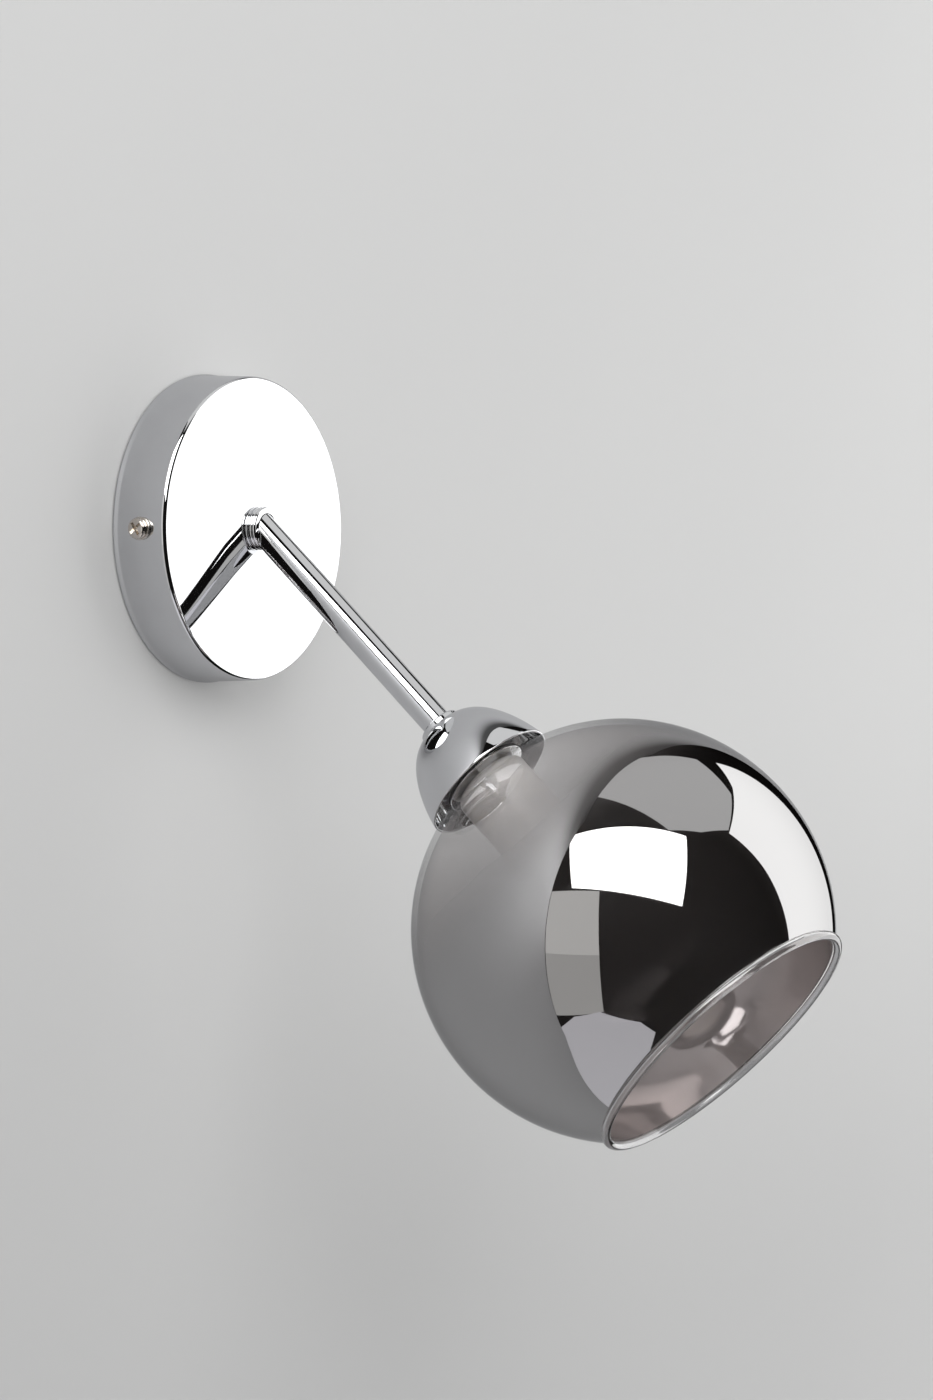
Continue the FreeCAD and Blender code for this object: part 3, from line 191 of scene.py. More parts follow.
# %% The turning tree
SEAM_WELD = 0.000002
ROUNDING = 0.0001  # keeps a rounding error from moving a point to the row before


def new_geometry_tree(name, sockets):
    """A tree with geometry in and out, its named inputs, and last its finish."""
    tree = bpy.data.node_groups.new(name, "GeometryNodeTree")
    tree.interface.new_socket("Geometry", in_out="OUTPUT", socket_type="NodeSocketGeometry")
    inputs = [("Geometry", "NodeSocketGeometry"), *sockets, ("Finish", "NodeSocketMaterial")]
    for label, kind in inputs:
        tree.interface.new_socket(label, in_out="INPUT", socket_type=kind)
    board = Board(tree)
    entry = board.node("NodeGroupInput").socket.node
    given = {socket.name: Value(board, socket) for socket in entry.outputs if socket.name}
    return board, given


def close_tree(board, geometry, material):
    """Every tree ends in Realize Instances and Set Material."""
    real = board.node("GeometryNodeRealizeInstances", inputs={0: geometry})
    painted = board.node("GeometryNodeSetMaterial", inputs={"Geometry": real, "Material": material})
    board.node("NodeGroupOutput", inputs={0: painted})
    print(board.tree.name, "tree has", len(board.tree.nodes), "nodes")
    return board.tree


def turning_tree():
    board, given = new_geometry_tree("turning", [("Segments", "NodeSocketInt")])
    profile = given["Geometry"]
    rows = board.node("GeometryNodeAttributeDomainSize", {"component": "MESH"}, {0: profile})
    columns = given["Segments"] + 1
    grid = board.node("GeometryNodeMeshGrid", inputs={"Vertices X": rows, "Vertices Y": columns})
    index = board.node("GeometryNodeInputIndex")
    row = (index / columns + ROUNDING).then("FLOOR")
    angle = (index - row * columns) / given["Segments"] * FULL_TURN
    position = board.node("GeometryNodeInputPosition")
    sample = board.node("GeometryNodeSampleIndex",
                        {"data_type": "FLOAT_VECTOR", "domain": "POINT"},
                        {"Geometry": profile, "Value": position, "Index": row})
    radius, _, level = board.split(sample)
    point = board.point(radius * angle.then("COSINE"), radius * angle.then("SINE"), level)
    swung = board.node("GeometryNodeSetPosition", inputs={"Geometry": grid, "Position": point})
    welded = board.node("GeometryNodeMergeByDistance",
                        inputs={"Geometry": swung, "Distance": SEAM_WELD})
    return close_tree(board, welded, given["Finish"])


TURNING = turning_tree()

# %% [markdown]
# A thread is a groove that climbs round the axis. Modelled as rings, it looks wrong in slanted
# light, so a second tree pushes the points of a turned piece inwards along a helix.

# %% The threading tree
THREAD_LENGTHS = ("Pitch", "Depth", "Start", "End", "Least Radius")


def threading_tree():
    sockets = [(label, "NodeSocketFloat") for label in (*THREAD_LENGTHS, "Sharpness")]
    board, given = new_geometry_tree("threading", sockets)
    x, y, level = board.split(board.node("GeometryNodeInputPosition"))
    radius = board.length(x, y)
    angle = y.then("ARCTAN2", x)
    phase = (level / given["Pitch"] - angle / FULL_TURN).then("FRACT")
    groove = (0.5 - 0.5 * (phase * FULL_TURN).then("COSINE")) ** given["Sharpness"]
    run_in = board.ease(level, given["Start"], given["Start"] + given["Pitch"])
    run_out = board.ease(level, given["End"] - given["Pitch"], given["End"], 1.0, 0.0)
    chosen = radius.then("GREATER_THAN", given["Least Radius"])
    scale = 1 - groove * given["Depth"] * run_in * run_out * chosen / radius
    point = board.point(x * scale, y * scale, level)
    cut = board.node("GeometryNodeSetPosition",
                     inputs={"Geometry": given["Geometry"], "Position": point})
    return close_tree(board, cut, given["Finish"])


THREADING = threading_tree()

# %% [markdown]
# The outlines come as corners, with a radius for each rounded one. Short support points stand just
# inside the ends of every straight run, so that a flat face stays optically flat and only its edge
# turns the light. A Bevel modifier could do this only with one radius for all corners.

# %% Profiles
SUPPORT = 0.05
SHORT_RUN = 8 * SUPPORT


def between(start, end, share):
    """The point at a share of the way from start to end."""
    return tuple(a + (b - a) * share for a, b in zip(start, end))


def arc_points(centre, radius, start, end, steps):
    """Points of an arc in the profile's plane, angles in radians from the radius axis."""
    points = []
    for n in range(steps + 1):
        angle = start + (end - start) * n / steps
        points.append((centre[0] + radius * math.cos(angle), centre[1] + radius * math.sin(angle)))
    return points


def corner_arc(before, corner, after, steps):
    """Points of the arc that rounds a corner, or the corner itself where it has no radius."""
    here = Vector(corner[:2])
    if len(corner) < 3:
        return [tuple(here)]
    size = corner[2]
    into = (Vector(before[:2]) - here).normalized()
    onward = (Vector(after[:2]) - here).normalized()
    half = into.angle(onward) / 2
    reach = size / math.tan(half)
    centre = here + (into + onward).normalized() * (size / math.sin(half))
    first = here + into * reach - centre
    last = here + onward * reach - centre
    sweep = math.atan2(first.x * last.y - first.y * last.x, first.dot(last))
    begin = math.atan2(first.y, first.x)
    count = corner[3] if len(corner) > 3 else steps
    return arc_points(centre, size, begin, begin + sweep, count)


def supports(start, end):
    """Support points just inside the two ends of a straight run, unless it is short."""
    run = math.dist(start, end)
    if run < SHORT_RUN:
        return []
    return [between(start, end, share) for share in (SUPPORT / run, 1 - SUPPORT / run)]


def rounded(corners, steps=8, closed=True):
    """Profile points through (radius, level) corners.

    A corner's third number rounds it, and a fourth sets the steps of its arc.
    """
    groups = []
    for index, corner in enumerate(corners):
        after = corners[(index + 1) % len(corners)]
        groups.append(corner_arc(corners[index - 1], corner, after, steps))
    if closed:
        groups.append([groups[0][0]])
    points = list(groups[0])
    for group in groups[1:]:
        points += supports(points[-1], group[0]) + group
    return points


def add_rows(profile, least, low, high, step):
    """More points on the runs beyond a radius and between two levels, for a thread to bend."""
    full = [profile[0]]
    for start, end in zip(profile, profile[1:]):
        run = abs(end[1] - start[1])
        beyond = min(start[0], end[0]) >= least
        inside = beyond and low - run <= min(start[1], end[1]) <= high
        count = max(1, round(run / step)) if inside and run > 3 * step else 1
        full += [between(start, end, n / count) for n in range(1, count + 1)]
    return full


# %% [markdown]
# Each profile stands on one of two axes, with its levels along it. The plate's axis comes straight
# out of the wall. The arm's axis starts on it, at the elbow, and drops forwards.
# A piece starts as a bare row of points, takes one or two modifiers, and is then read back as a
# plain mesh, laid in its place and put on the body that carries it.

# %% Making a turned piece
ELBOW = 21.65
ARM_DROP = 42.28
WALL_FRAME = Matrix.Rotation(math.radians(90), 4, "X")
ARM_TURN = Matrix.Rotation(math.radians(90 + ARM_DROP), 4, "X")
ARM_FRAME = Matrix.Translation((0, -ELBOW * MM, 0)) @ ARM_TURN
WELD = 0.000001
SPECK = 0.0000005
SHARP_ANGLE = 32.0


def profile_object(points):
    mesh = bpy.data.meshes.new("profile")
    rows = [(radius * MM, 0.0, level * MM) for radius, level in points]
    mesh.from_pydata(rows, [(n, n + 1) for n in range(len(rows) - 1)], [])
    return new_object("profile", mesh)


def add_tree(obj, tree, values):
    """A Geometry Nodes modifier, its inputs set by their sockets' identifiers."""
    modifier = obj.modifiers.new(tree.name, "NODES")
    modifier.node_group = tree
    for item in tree.interface.items_tree:
        if item.in_out == "INPUT" and item.name in values:
            modifier[item.identifier] = values[item.name]


def add_thread(obj, thread, material):
    """A thread, from its pitch, depth, start, end and least radius, and its sharpness."""
    *lengths, sharpness = thread
    values = {label: length * MM for label, length in zip(THREAD_LENGTHS, lengths)}
    add_tree(obj, THREADING, {**values, "Sharpness": sharpness, "Finish": material})


def plain_mesh(obj, name):
    """The evaluated object as a plain mesh; the object itself goes."""
    graph = bpy.context.evaluated_depsgraph_get()
    mesh = bpy.data.meshes.new_from_object(obj.evaluated_get(graph))
    mesh.name = name
    bpy.data.objects.remove(obj)
    return mesh


def tidy_mesh(mesh, angle=SHARP_ANGLE):
    """Welded, facing outwards, smooth except across real edges."""
    work = bmesh.new()
    work.from_mesh(mesh)
    bmesh.ops.remove_doubles(work, verts=work.verts, dist=WELD)
    bmesh.ops.dissolve_degenerate(work, edges=work.edges, dist=SPECK)
    bmesh.ops.recalc_face_normals(work, faces=work.faces)
    for face in work.faces:
        face.smooth = True
    work.to_mesh(mesh)
    work.free()
    mesh.set_sharp_from_angle(angle=math.radians(angle))


def place(mesh, name, body, node, axis=None):
    """Lay a mesh in its frame and put it on its body."""
    if axis is not None:
        mesh.transform(axis)
    piece = new_object(name, mesh)
    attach(piece, body)
    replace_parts(piece, node)
    print(name, "has", len(mesh.polygons), "faces")


def turned_mesh(name, points, material, segments, thread=None):
    obj = profile_object(points)
    add_tree(obj, TURNING, {"Segments": segments, "Finish": material})
    if thread:
        add_thread(obj, thread, material)
    mesh = plain_mesh(obj, name)
    tidy_mesh(mesh)
    return mesh


def turned_piece(name, points, material, segments, body, node, axis, thread=None):
    mesh = turned_mesh(name, points, material, segments, thread)
    place(mesh, name, body, node, axis)


# %% [markdown]
# Materials share a few patterns. All read Object coordinates in metres, so a noise scale of 1000
# has grains of about a millimetre. A Mapping node turns them on to the arm's own axis.

# %% Material helpers


def new_material(name):
    material = bpy.data.materials.new(name)
    material.use_nodes = True
    material.node_tree.nodes.clear()
    print("new material:", name)
    board = Board(material.node_tree)
    board.material = material
    return board


def object_place(board):
    return board.node("ShaderNodeTexCoord", output="Object")


def arm_place(board):
    """Object coordinates in the arm's own frame: z is the distance from the elbow."""
    inverse = ARM_FRAME.inverted()
    return board.node("ShaderNodeMapping", {"vector_type": "POINT"}, {
        "Vector": object_place(board), "Location": inverse.translation,
        "Rotation": inverse.to_euler()})


def noise(board, where, scale, detail=2.0):
    inputs = {"Vector": where, "Scale": scale, "Detail": detail}
    return board.node("ShaderNodeTexNoise", inputs=inputs)


def blend_colours(board, factor, first, second):
    inputs = {0: factor, 6: (*first, 1.0), 7: (*second, 1.0)}
    return board.node("ShaderNodeMix", {"data_type": "RGBA"}, inputs, 2)


def ripple(board, height, distance):
    """A bump of real depth, in metres."""
    inputs = {"Strength": 1.0, "Distance": distance, "Height": height}
    return board.node("ShaderNodeBump", inputs=inputs, output="Normal")


def principled(board, values):
    return board.node("ShaderNodeBsdfPrincipled", inputs=values)


def finished(board, surface):
    board.node("ShaderNodeOutputMaterial", inputs={"Surface": surface})
    return board.material


# %% [markdown]
# Chrome plate is a thin bright layer over buffed metal. A plain metallic colour would be too
# perfect: the buffing leaves a slow ripple, and handling leaves faint haze. Both are only a few
# microns, so they are kept small. The plate is buffed on its outside only, and its metal stays dull
# behind the middle of its sheet, which the shader finds from the sheet's level, radius and slopes.

# %% Chrome
FLAT_RADIUS = 33.0
FACE_SLOPE = 0.088
SIDE_SLOPE = 0.043
SHEET_MIDDLE_LEVEL = 20.1
SHEET_MIDDLE_RADIUS = 49.1


def behind_the_sheet(board, where):
    """1 where a point is behind the middle of the plate's sheet, and 0 elsewhere."""
    x, y, z = board.split(where)
    radius = board.length(x, z)
    fall = (radius - FLAT_RADIUS * MM).then("MAXIMUM", 0.0) * FACE_SLOPE
    behind_face = (fall - y).then("LESS_THAN", SHEET_MIDDLE_LEVEL * MM)
    within_side = (radius - SIDE_SLOPE * y).then("LESS_THAN", SHEET_MIDDLE_RADIUS * MM)
    return behind_face * within_side


def chrome():
    board = new_material("polished_chrome")
    where = object_place(board)
    dull = behind_the_sheet(board, where)
    haze = board.ease(noise(board, where, 55.0, 3.0), 0.45, 0.75)
    grain = noise(board, where, 900.0)
    wave = noise(board, where, 45.0, 1.0)
    return finished(board, principled(board, {
        "Base Color": blend_colours(board, haze, (0.83, 0.835, 0.845), (0.80, 0.805, 0.815)),
        "Metallic": 1.0 - 0.5 * dull,
        "Roughness": 0.02 + 0.022 * haze + 0.008 * grain + 0.34 * dull,
        "Normal": ripple(board, wave, 12 * MICRON),
    }))


CHROME = chrome()

# %% [markdown]
# The globe is clear glass with a thin metal film, a faint haze at the neck, where the lamp holder
# shows, and a dark mirror from before the globe's middle. It looks denser towards the outline,
# where a ray crosses it at a slant. Tinted glass would mirror too little, so the film is a
# Principled shader with full Metallic, whose Alpha is the share of light that it stops.
# Seen from the inside it is duller and warmer. The bead at the mouth is nearly free of film and
# bends what is behind it as a rod of glass does, so a Mix Shader brings in a second shader with
# Transmission there.

# %% Smoke mirror glass
GLOBE_CENTRE = 180.23
GLOBE_RADIUS = 64.0
GLOBE_WALL = 1.8
INSIDE_UP_TO, OUTSIDE_FROM = 63.3, 63.7
BEAD_RING = 45.1
BEAD_RADIUS = 1.4
BEAD_PROUD = 0.5
BEAD_REACH = GLOBE_RADIUS + BEAD_PROUD
BEAD_LEVEL = GLOBE_CENTRE + math.sqrt(BEAD_REACH ** 2 - BEAD_RING ** 2)
BEAD_CLEAR_TO, BEAD_COATED_FROM = 1.42, 1.7
HAZE_START, HAZE_END = 116, 146
COAT_START, COAT_END = 137, 172


def film_share(board, where, level):
    """Share of light that the film stops, from the level on the globe and the slant of the view."""
    cloud = (noise(board, where, 30.0) - 0.5) * (5 * MM)
    height = level + cloud
    haze = board.ease(height, HAZE_START * MM, HAZE_END * MM, 0.03, 0.26)
    coat = board.ease(height, COAT_START * MM, COAT_END * MM, 0.0, 0.57)
    facing = board.node("ShaderNodeLayerWeight", inputs={"Blend": 0.5}, output="Facing")
    straight_through = 1.0 - (haze + coat)
    crossed = (1.08 - facing) ** -1.0  # about 1 where it is met square on, 12 at the outline
    return 1.0 - straight_through ** crossed


def smoke_mirror():
    board = new_material("smoke_mirror_glass")
    where = arm_place(board)
    x, y, level = board.split(where)
    from_centre = board.length(x, y, level - GLOBE_CENTRE * MM)
    inside = board.ease(from_centre, INSIDE_UP_TO * MM, OUTSIDE_FROM * MM, 1.0, 0.0)
    off_ring = board.length(x, y) - BEAD_RING * MM
    from_bead = board.length(off_ring, level - BEAD_LEVEL * MM)
    bead = board.ease(from_bead, BEAD_CLEAR_TO * MM, BEAD_COATED_FROM * MM, 0.7, 0.0)
    wave = noise(board, where, 28.0, 1.0)
    fine = noise(board, where, 700.0)
    coated = principled(board, {
        "Base Color": blend_colours(board, inside, (0.56, 0.555, 0.553), (0.66, 0.60, 0.59)),
        "Metallic": 1.0 - 0.5 * inside,
        "Specular Tint": (0.66, 0.66, 0.66, 1.0),
        "Roughness": 0.012 + 0.01 * fine + 0.05 * inside,
        "Alpha": film_share(board, where, level),
        "Normal": ripple(board, wave, 30 * MICRON),
    })
    clear = principled(board, {
        "Base Color": (0.95, 0.955, 0.955, 1.0),
        "Roughness": 0.01 + 0.01 * fine,
        "Transmission Weight": 1.0,
        "IOR": 1.5,
    })
    return finished(board, board.node("ShaderNodeMixShader", inputs={0: bead, 1: coated, 2: clear}))


SMOKE_MIRROR = smoke_mirror()

# %% [markdown]
# The small fasteners and hidden metal are plated steel and brass. One flat grey would look like a
# toy, so each gets its own tones and the grain that its making leaves, from one function.

# %% Small metals


def plated(name, pale, dark, scale, rough, spread, microns):
    """Plated metal: two tones in clouds, a roughness that follows them, and a fine grain."""
    board = new_material(name)
    where = object_place(board)
    cloud = board.ease(noise(board, where, scale, 4.0), 0.35, 0.7)
    grain = noise(board, where, scale * 9.0, 3.0)
    return finished(board, principled(board, {
        "Base Color": blend_colours(board, cloud, pale, dark),
        "Metallic": 1.0,
        "Roughness": rough + spread * cloud + spread * 0.5 * grain,
        "Normal": ripple(board, grain, microns * MICRON),
    }))


ZINC = plated("zinc_plated_steel", (0.66, 0.67, 0.69), (0.55, 0.57, 0.62), 160.0, 0.26, 0.14, 12)
NICKEL = plated("nickel_plated_steel", (0.80, 0.75, 0.69), (0.70, 0.64, 0.57), 420.0, 0.12, 0.10, 6)
WASHER_STEEL = plated("washer_nickel", (0.74, 0.70, 0.65), (0.62, 0.58, 0.53), 420.0, 0.16, 0.10, 6)
POLISHED = plated("polished_zinc", (0.80, 0.80, 0.80), (0.74, 0.74, 0.75), 160.0, 0.05, 0.05, 3)
BRASS = plated("bare_brass", (0.83, 0.63, 0.30), (0.68, 0.48, 0.21), 260.0, 0.20, 0.16, 8)
TINNED = plated("tinned_brass", (0.74, 0.74, 0.72), (0.63, 0.63, 0.60), 300.0, 0.22, 0.14, 8)
BRONZE = plated("rolled_bronze", (0.76, 0.53, 0.32), (0.62, 0.40, 0.23), 340.0, 0.20, 0.12, 8)

# %% [markdown]
# The lamp holder is moulded in a heat-proof plastic, warm white with a satin skin. Moulded pieces
# show a faint orange-peel and slightly uneven gloss, and the hidden ones are duller.

# %% Plastics, rubber and fibre


def moulded(name, colour, shade, rough, microns, translucent=0.0):
    """Moulded piece: two close tones, and a skin with an orange-peel of some microns."""
    board = new_material(name)
    where = object_place(board)
    cloud = noise(board, where, 90.0, 3.0)
    skin = noise(board, where, 1500.0)
    return finished(board, principled(board, {
        "Base Color": blend_colours(board, cloud, colour, shade),
        "Roughness": rough + 0.08 * cloud,
        "Subsurface Weight": translucent,
        "Subsurface Radius": (0.004, 0.003, 0.002),
        "Subsurface Scale": 0.5,
        "Normal": ripple(board, skin, microns * MICRON),
    }))


HOLDER_WHITE = moulded("holder_plastic", (0.88, 0.85, 0.82), (0.83, 0.80, 0.77), 0.26, 6, 0.1)
INSERT_CREAM = moulded("insert_plastic", (0.78, 0.74, 0.66), (0.72, 0.68, 0.60), 0.5, 10)
CONNECTOR_WHITE = moulded("connector_plastic", (0.84, 0.84, 0.82), (0.78, 0.78, 0.75),
                         0.42, 8, 0.15)
GASKET = moulded("gasket_rubber", (0.56, 0.56, 0.55), (0.48, 0.48, 0.47), 0.62, 20)
FIBRE = moulded("pressed_fibre", (0.40, 0.15, 0.11), (0.30, 0.10, 0.08), 0.7, 30)
SHEATH = moulded("lead_sheath", (0.78, 0.78, 0.76), (0.73, 0.73, 0.71), 0.35, 6)
CORE = moulded("core_insulation", (0.80, 0.78, 0.74), (0.74, 0.72, 0.68), 0.35, 6)


def earth_insulation():
    """Green wire with a yellow stripe on one side, as protective wires have."""
    board = new_material("earth_insulation")
    where = object_place(board)
    _, _, height = board.split(where)
    wander = (noise(board, where, 200.0) - 0.5) * (0.3 * MM)
    stripe = board.ease(height + wander, 0.2 * MM, 0.45 * MM)
    return finished(board, principled(board, {
        "Base Color": blend_colours(board, stripe, (0.06, 0.28, 0.07), (0.80, 0.66, 0.05)),
        "Roughness": 0.34 + 0.08 * noise(board, where, 90.0),
        "Normal": ripple(board, noise(board, where, 1500.0), 6 * MICRON),
    }))


EARTH = earth_insulation()

# %% [markdown]
# The wall plate is a shallow dish drawn from sheet. Its face is flat in the middle and falls away
# towards the rim by a millimetre and a half, which bends the arm's mirror image. Its side closes
# in by less than a millimetre towards the front, and flares a little more at its back edge. The
# slow curve needs many points, because every kink in it would show in the reflections.

# %% Wall plate
PLATE_RADIUS = 50.0
PLATE_SHEET = 1.0
PLATE_FRONT = 20.6
PLATE_INSIDE = PLATE_FRONT - PLATE_SHEET
PLATE_HOLE = 5.05
SHOULDER_RADIUS, SHOULDER_LEVEL = 48.85, 19.2
FACE_CURVE = 300.0


def wall_plate():
    profile = rounded([
        # the back edge and its flare
        (48.65, 0.0, 0.15), (PLATE_RADIUS, 0.0, 0.25), (PLATE_RADIUS, 0.5, 0.4), (49.6, 1.7, 0.4),
        # the outside, from the shoulder over the face to the hole
        (SHOULDER_RADIUS, SHOULDER_LEVEL, 1.4, 14), (FLAT_RADIUS, PLATE_FRONT, FACE_CURVE, 40),
        (PLATE_HOLE, PLATE_FRONT),
        # and back along the inside
        (PLATE_HOLE, PLATE_INSIDE), (FLAT_RADIUS, PLATE_INSIDE, FACE_CURVE - PLATE_SHEET, 20),
        (SHOULDER_RADIUS - PLATE_SHEET, SHOULDER_LEVEL - PLATE_SHEET, 0.6),
    ])
    turned_piece("wall_plate", profile, CHROME, 256, "plate", "backplate", WALL_FRAME)


wall_plate()

# %% [markdown]
# The collar is two polished rings. The rear one stays on the plate. The front one turns with the
# arm, and the hollow stub behind it goes through the plate with a thread for the nut.

# %% Collar
COLLAR_RADIUS = 7.0
REAR_RING_FRONT = 22.2
RING_BACK = 22.35
RING_FRONT = 23.45
STUB_BORE = 3.0
STUB_RADIUS = 4.97
STUB_END = 13.75
BORE_OPENS = 18.2


def rear_ring():
    profile = rounded([
        (PLATE_HOLE, PLATE_FRONT), (COLLAR_RADIUS, PLATE_FRONT, 0.72),
        (COLLAR_RADIUS, REAR_RING_FRONT, 0.72), (PLATE_HOLE, REAR_RING_FRONT),
    ], steps=12)
    turned_piece("rear_ring", profile, CHROME, 128, "plate", "base_ring", WALL_FRAME)


def front_ring():
    profile = rounded([
        (STUB_BORE, STUB_END, 0.2), (STUB_RADIUS, STUB_END, 0.4), (STUB_RADIUS, RING_BACK),
        (COLLAR_RADIUS, RING_BACK, 0.2), (COLLAR_RADIUS, RING_FRONT, 0.8, 14),
        (5.0, RING_FRONT), (STUB_BORE, BORE_OPENS),
    ])
    profile = add_rows(profile, 4.9, STUB_END + 0.5, 19.2, 0.12)
    thread = (1.0, 0.3, STUB_END + 0.1, 19.0, 4.6, 1.0)
    turned_piece("front_ring", profile, CHROME, 128, "arm", "swivel_collar",
                 WALL_FRAME, thread)


rear_ring()
front_ring()

# %% [markdown]
# The arm is a straight tube, cut at an angle where it is brazed on the collar's front. The plain
# tube is turned first, from well behind the elbow, and a plane parallel to the wall then cuts it,
# which gives the mitre its true ellipse.

# %% Arm tube
ARM_RADIUS, ARM_BORE = 4.75, 3.5
ARM_START, ARM_END = -12.0, 92.2


def arm_tube():
    profile = rounded([
        (ARM_BORE, ARM_START), (ARM_RADIUS, ARM_START),
        (ARM_RADIUS, ARM_END, 0.2), (ARM_BORE, ARM_END, 0.2),
    ])
    mesh = turned_mesh("arm_tube", profile, CHROME, 192)
    mesh.transform(ARM_FRAME)
    cut = bmesh.new()
    cut.from_mesh(mesh)
    everything = cut.verts[:] + cut.edges[:] + cut.faces[:]
    found = bmesh.ops.bisect_plane(cut, geom=everything, plane_co=(0, -RING_FRONT * MM, 0),
                                   plane_no=(0, 1, 0), clear_outer=True)
    rim = [item for item in found["geom_cut"] if isinstance(item, bmesh.types.BMEdge)]
    bmesh.ops.bridge_loops(cut, edges=rim)
    bmesh.ops.recalc_face_normals(cut, faces=cut.faces)
    cut.to_mesh(mesh)
    cut.free()
    mesh.set_sharp_from_angle(angle=math.radians(SHARP_ANGLE))
    place(mesh, "arm_tube_polished", "arm", "arm_tube")


arm_tube()

# %% [markdown]
# The cap follows one rule from rim to pole: radius = R (1 - f^p)^q, with f the share of the height.
# That is fuller than a hemisphere at the rim and flatter on top, like a spun cup. A second, smaller
# curve is its inside, and a turned neck closes it on the tube, whose end stands on a seat in it.

# %% Bell cap
CAP_RIM = 116.4
CAP_RADIUS, CAP_HEIGHT = 22.1, 24.0
CAP_INNER_RADIUS, CAP_INNER_HEIGHT = 21.4, 23.3
DOME_POWER, DOME_ROOT = 1.25, 0.326
POLE_CROWDING = 2.2
NECK_BORE, NECK_OUTSIDE = 4.78, 6.9
NECK_TOP, NECK_FOOT = 91.0, 92.8
NIPPLE_HOLE = 4.03


def dome_curve(radius, height, last_fraction, steps):
    """Points of the dome from its rim up to a fraction of its height, closer near the pole."""
    points = []
    for n in range(steps + 1):
        fraction = last_fraction * (1 - (1 - n / steps) ** POLE_CROWDING)
        size = radius * (1 - fraction ** DOME_POWER) ** DOME_ROOT
        points.append((size, CAP_RIM - height * fraction))
    return points


def bell_cap():
    outside = dome_curve(CAP_RADIUS, CAP_HEIGHT, 0.9774, 130)[::-1]
    inside = dome_curve(CAP_INNER_RADIUS, CAP_INNER_HEIGHT, 0.9528, 60)
    neck = rounded([
        (NECK_BORE, NECK_TOP, 0.15), (NECK_OUTSIDE, NECK_TOP, 0.7), (NECK_OUTSIDE, NECK_FOOT),
    ], closed=False)
    rim = rounded([
        (CAP_RADIUS, CAP_RIM - 0.3), (CAP_RADIUS, CAP_RIM, 0.2),
        (CAP_INNER_RADIUS, CAP_RIM, 0.2), (CAP_INNER_RADIUS, CAP_RIM - 0.3),
    ], steps=6, closed=False)
    seat = [(NIPPLE_HOLE, 94.2), (NIPPLE_HOLE, ARM_END), (NECK_BORE, ARM_END)]
    profile = neck[:-1] + outside[:-2] + rim[1:-1] + inside[2:] + seat + [neck[0]]
    turned_piece("bell_cap_spun", profile, CHROME, 256, "arm", "bell_cap", ARM_FRAME)


bell_cap()

# %% [markdown]
# The globe is blown with a short neck and a flat top, cut open at the mouth and melted there to a
# thin bead. Just before the bead the inside leaves the sphere and runs straight on to it, touching
# both smoothly. Its wall is made as two surfaces, because the film on it shows both, one just
# inside the other. A plain sphere with a Solidify modifier would have neither bead nor neck.

# %% Globe
GLOBE_TOP = 110.5
GLOBE_HOLE = 4.6
NECK_RADIUS = 20.8
NECK_CURVE = 4.5
NECK_FILLET = 0.8
AFTER_STRAIGHT = (0, 1, 4, 6, 7, 8)  # the runs, from the second on, that a straight leads to


def globe():
    centre = (0.0, GLOBE_CENTRE)
    inner = GLOBE_RADIUS - GLOBE_WALL
    fillet_ring = NECK_RADIUS + NECK_FILLET
    drop = math.sqrt((GLOBE_RADIUS + NECK_FILLET) ** 2 - fillet_ring ** 2)
    fillet_centre = (fillet_ring, GLOBE_CENTRE - drop)
    neck_angle = math.atan2(-drop, fillet_ring)
    mouth = math.acos(BEAD_RING / BEAD_REACH)
    bead_centre = (BEAD_RING, BEAD_LEVEL)
    outer_end = mouth - math.acos((GLOBE_RADIUS ** 2 + BEAD_REACH ** 2 - BEAD_RADIUS ** 2)
                                  / (2 * GLOBE_RADIUS * BEAD_REACH))
    lip_angle = mouth - math.acos((inner + BEAD_RADIUS) / BEAD_REACH)
    shoulder = (NECK_RADIUS - NECK_CURVE, GLOBE_TOP + NECK_CURVE)
    outside = arc_points(centre, GLOBE_RADIUS, neck_angle, outer_end, 150)
    start = math.atan2(outside[-1][1] - BEAD_LEVEL, outside[-1][0] - BEAD_RING)
    fillet_turn = math.pi + neck_angle
    runs = [
        [(GLOBE_HOLE, GLOBE_TOP)],
        arc_points(shoulder, NECK_CURVE, -math.pi / 2, 0.0, 12),
        arc_points(fillet_centre, NECK_FILLET, math.pi, fillet_turn, 8),
        outside[1:],
        arc_points(bead_centre, BEAD_RADIUS, start, lip_angle + math.pi, 32)[1:],
        arc_points(centre, inner, lip_angle, neck_angle, 130),
        arc_points(fillet_centre, NECK_FILLET + GLOBE_WALL, fillet_turn, math.pi, 8)[1:],
        arc_points(shoulder, NECK_CURVE - GLOBE_WALL, 0.0, -math.pi / 2, 8),
        [(GLOBE_HOLE, GLOBE_TOP + GLOBE_WALL)],
        [(GLOBE_HOLE, GLOBE_TOP)],
    ]
    points = list(runs[0])
    for index, run in enumerate(runs[1:]):
        if index in AFTER_STRAIGHT:
            points += supports(points[-1], run[0])
        points += run
    turned_piece("mirror_globe", points, SMOKE_MIRROR, 256, "arm",
                 "globe_glass", ARM_FRAME)


globe()

# %% [markdown]
# The lamp holder has a domed top, a smooth sleeve and a wider skirt with a coarse thread. The
# thread climbs, so the sleeve's outline gets rows of points there and the threading tree bends
# them. The screw shell inside is rolled from thin sheet, and both its walls follow one helix.

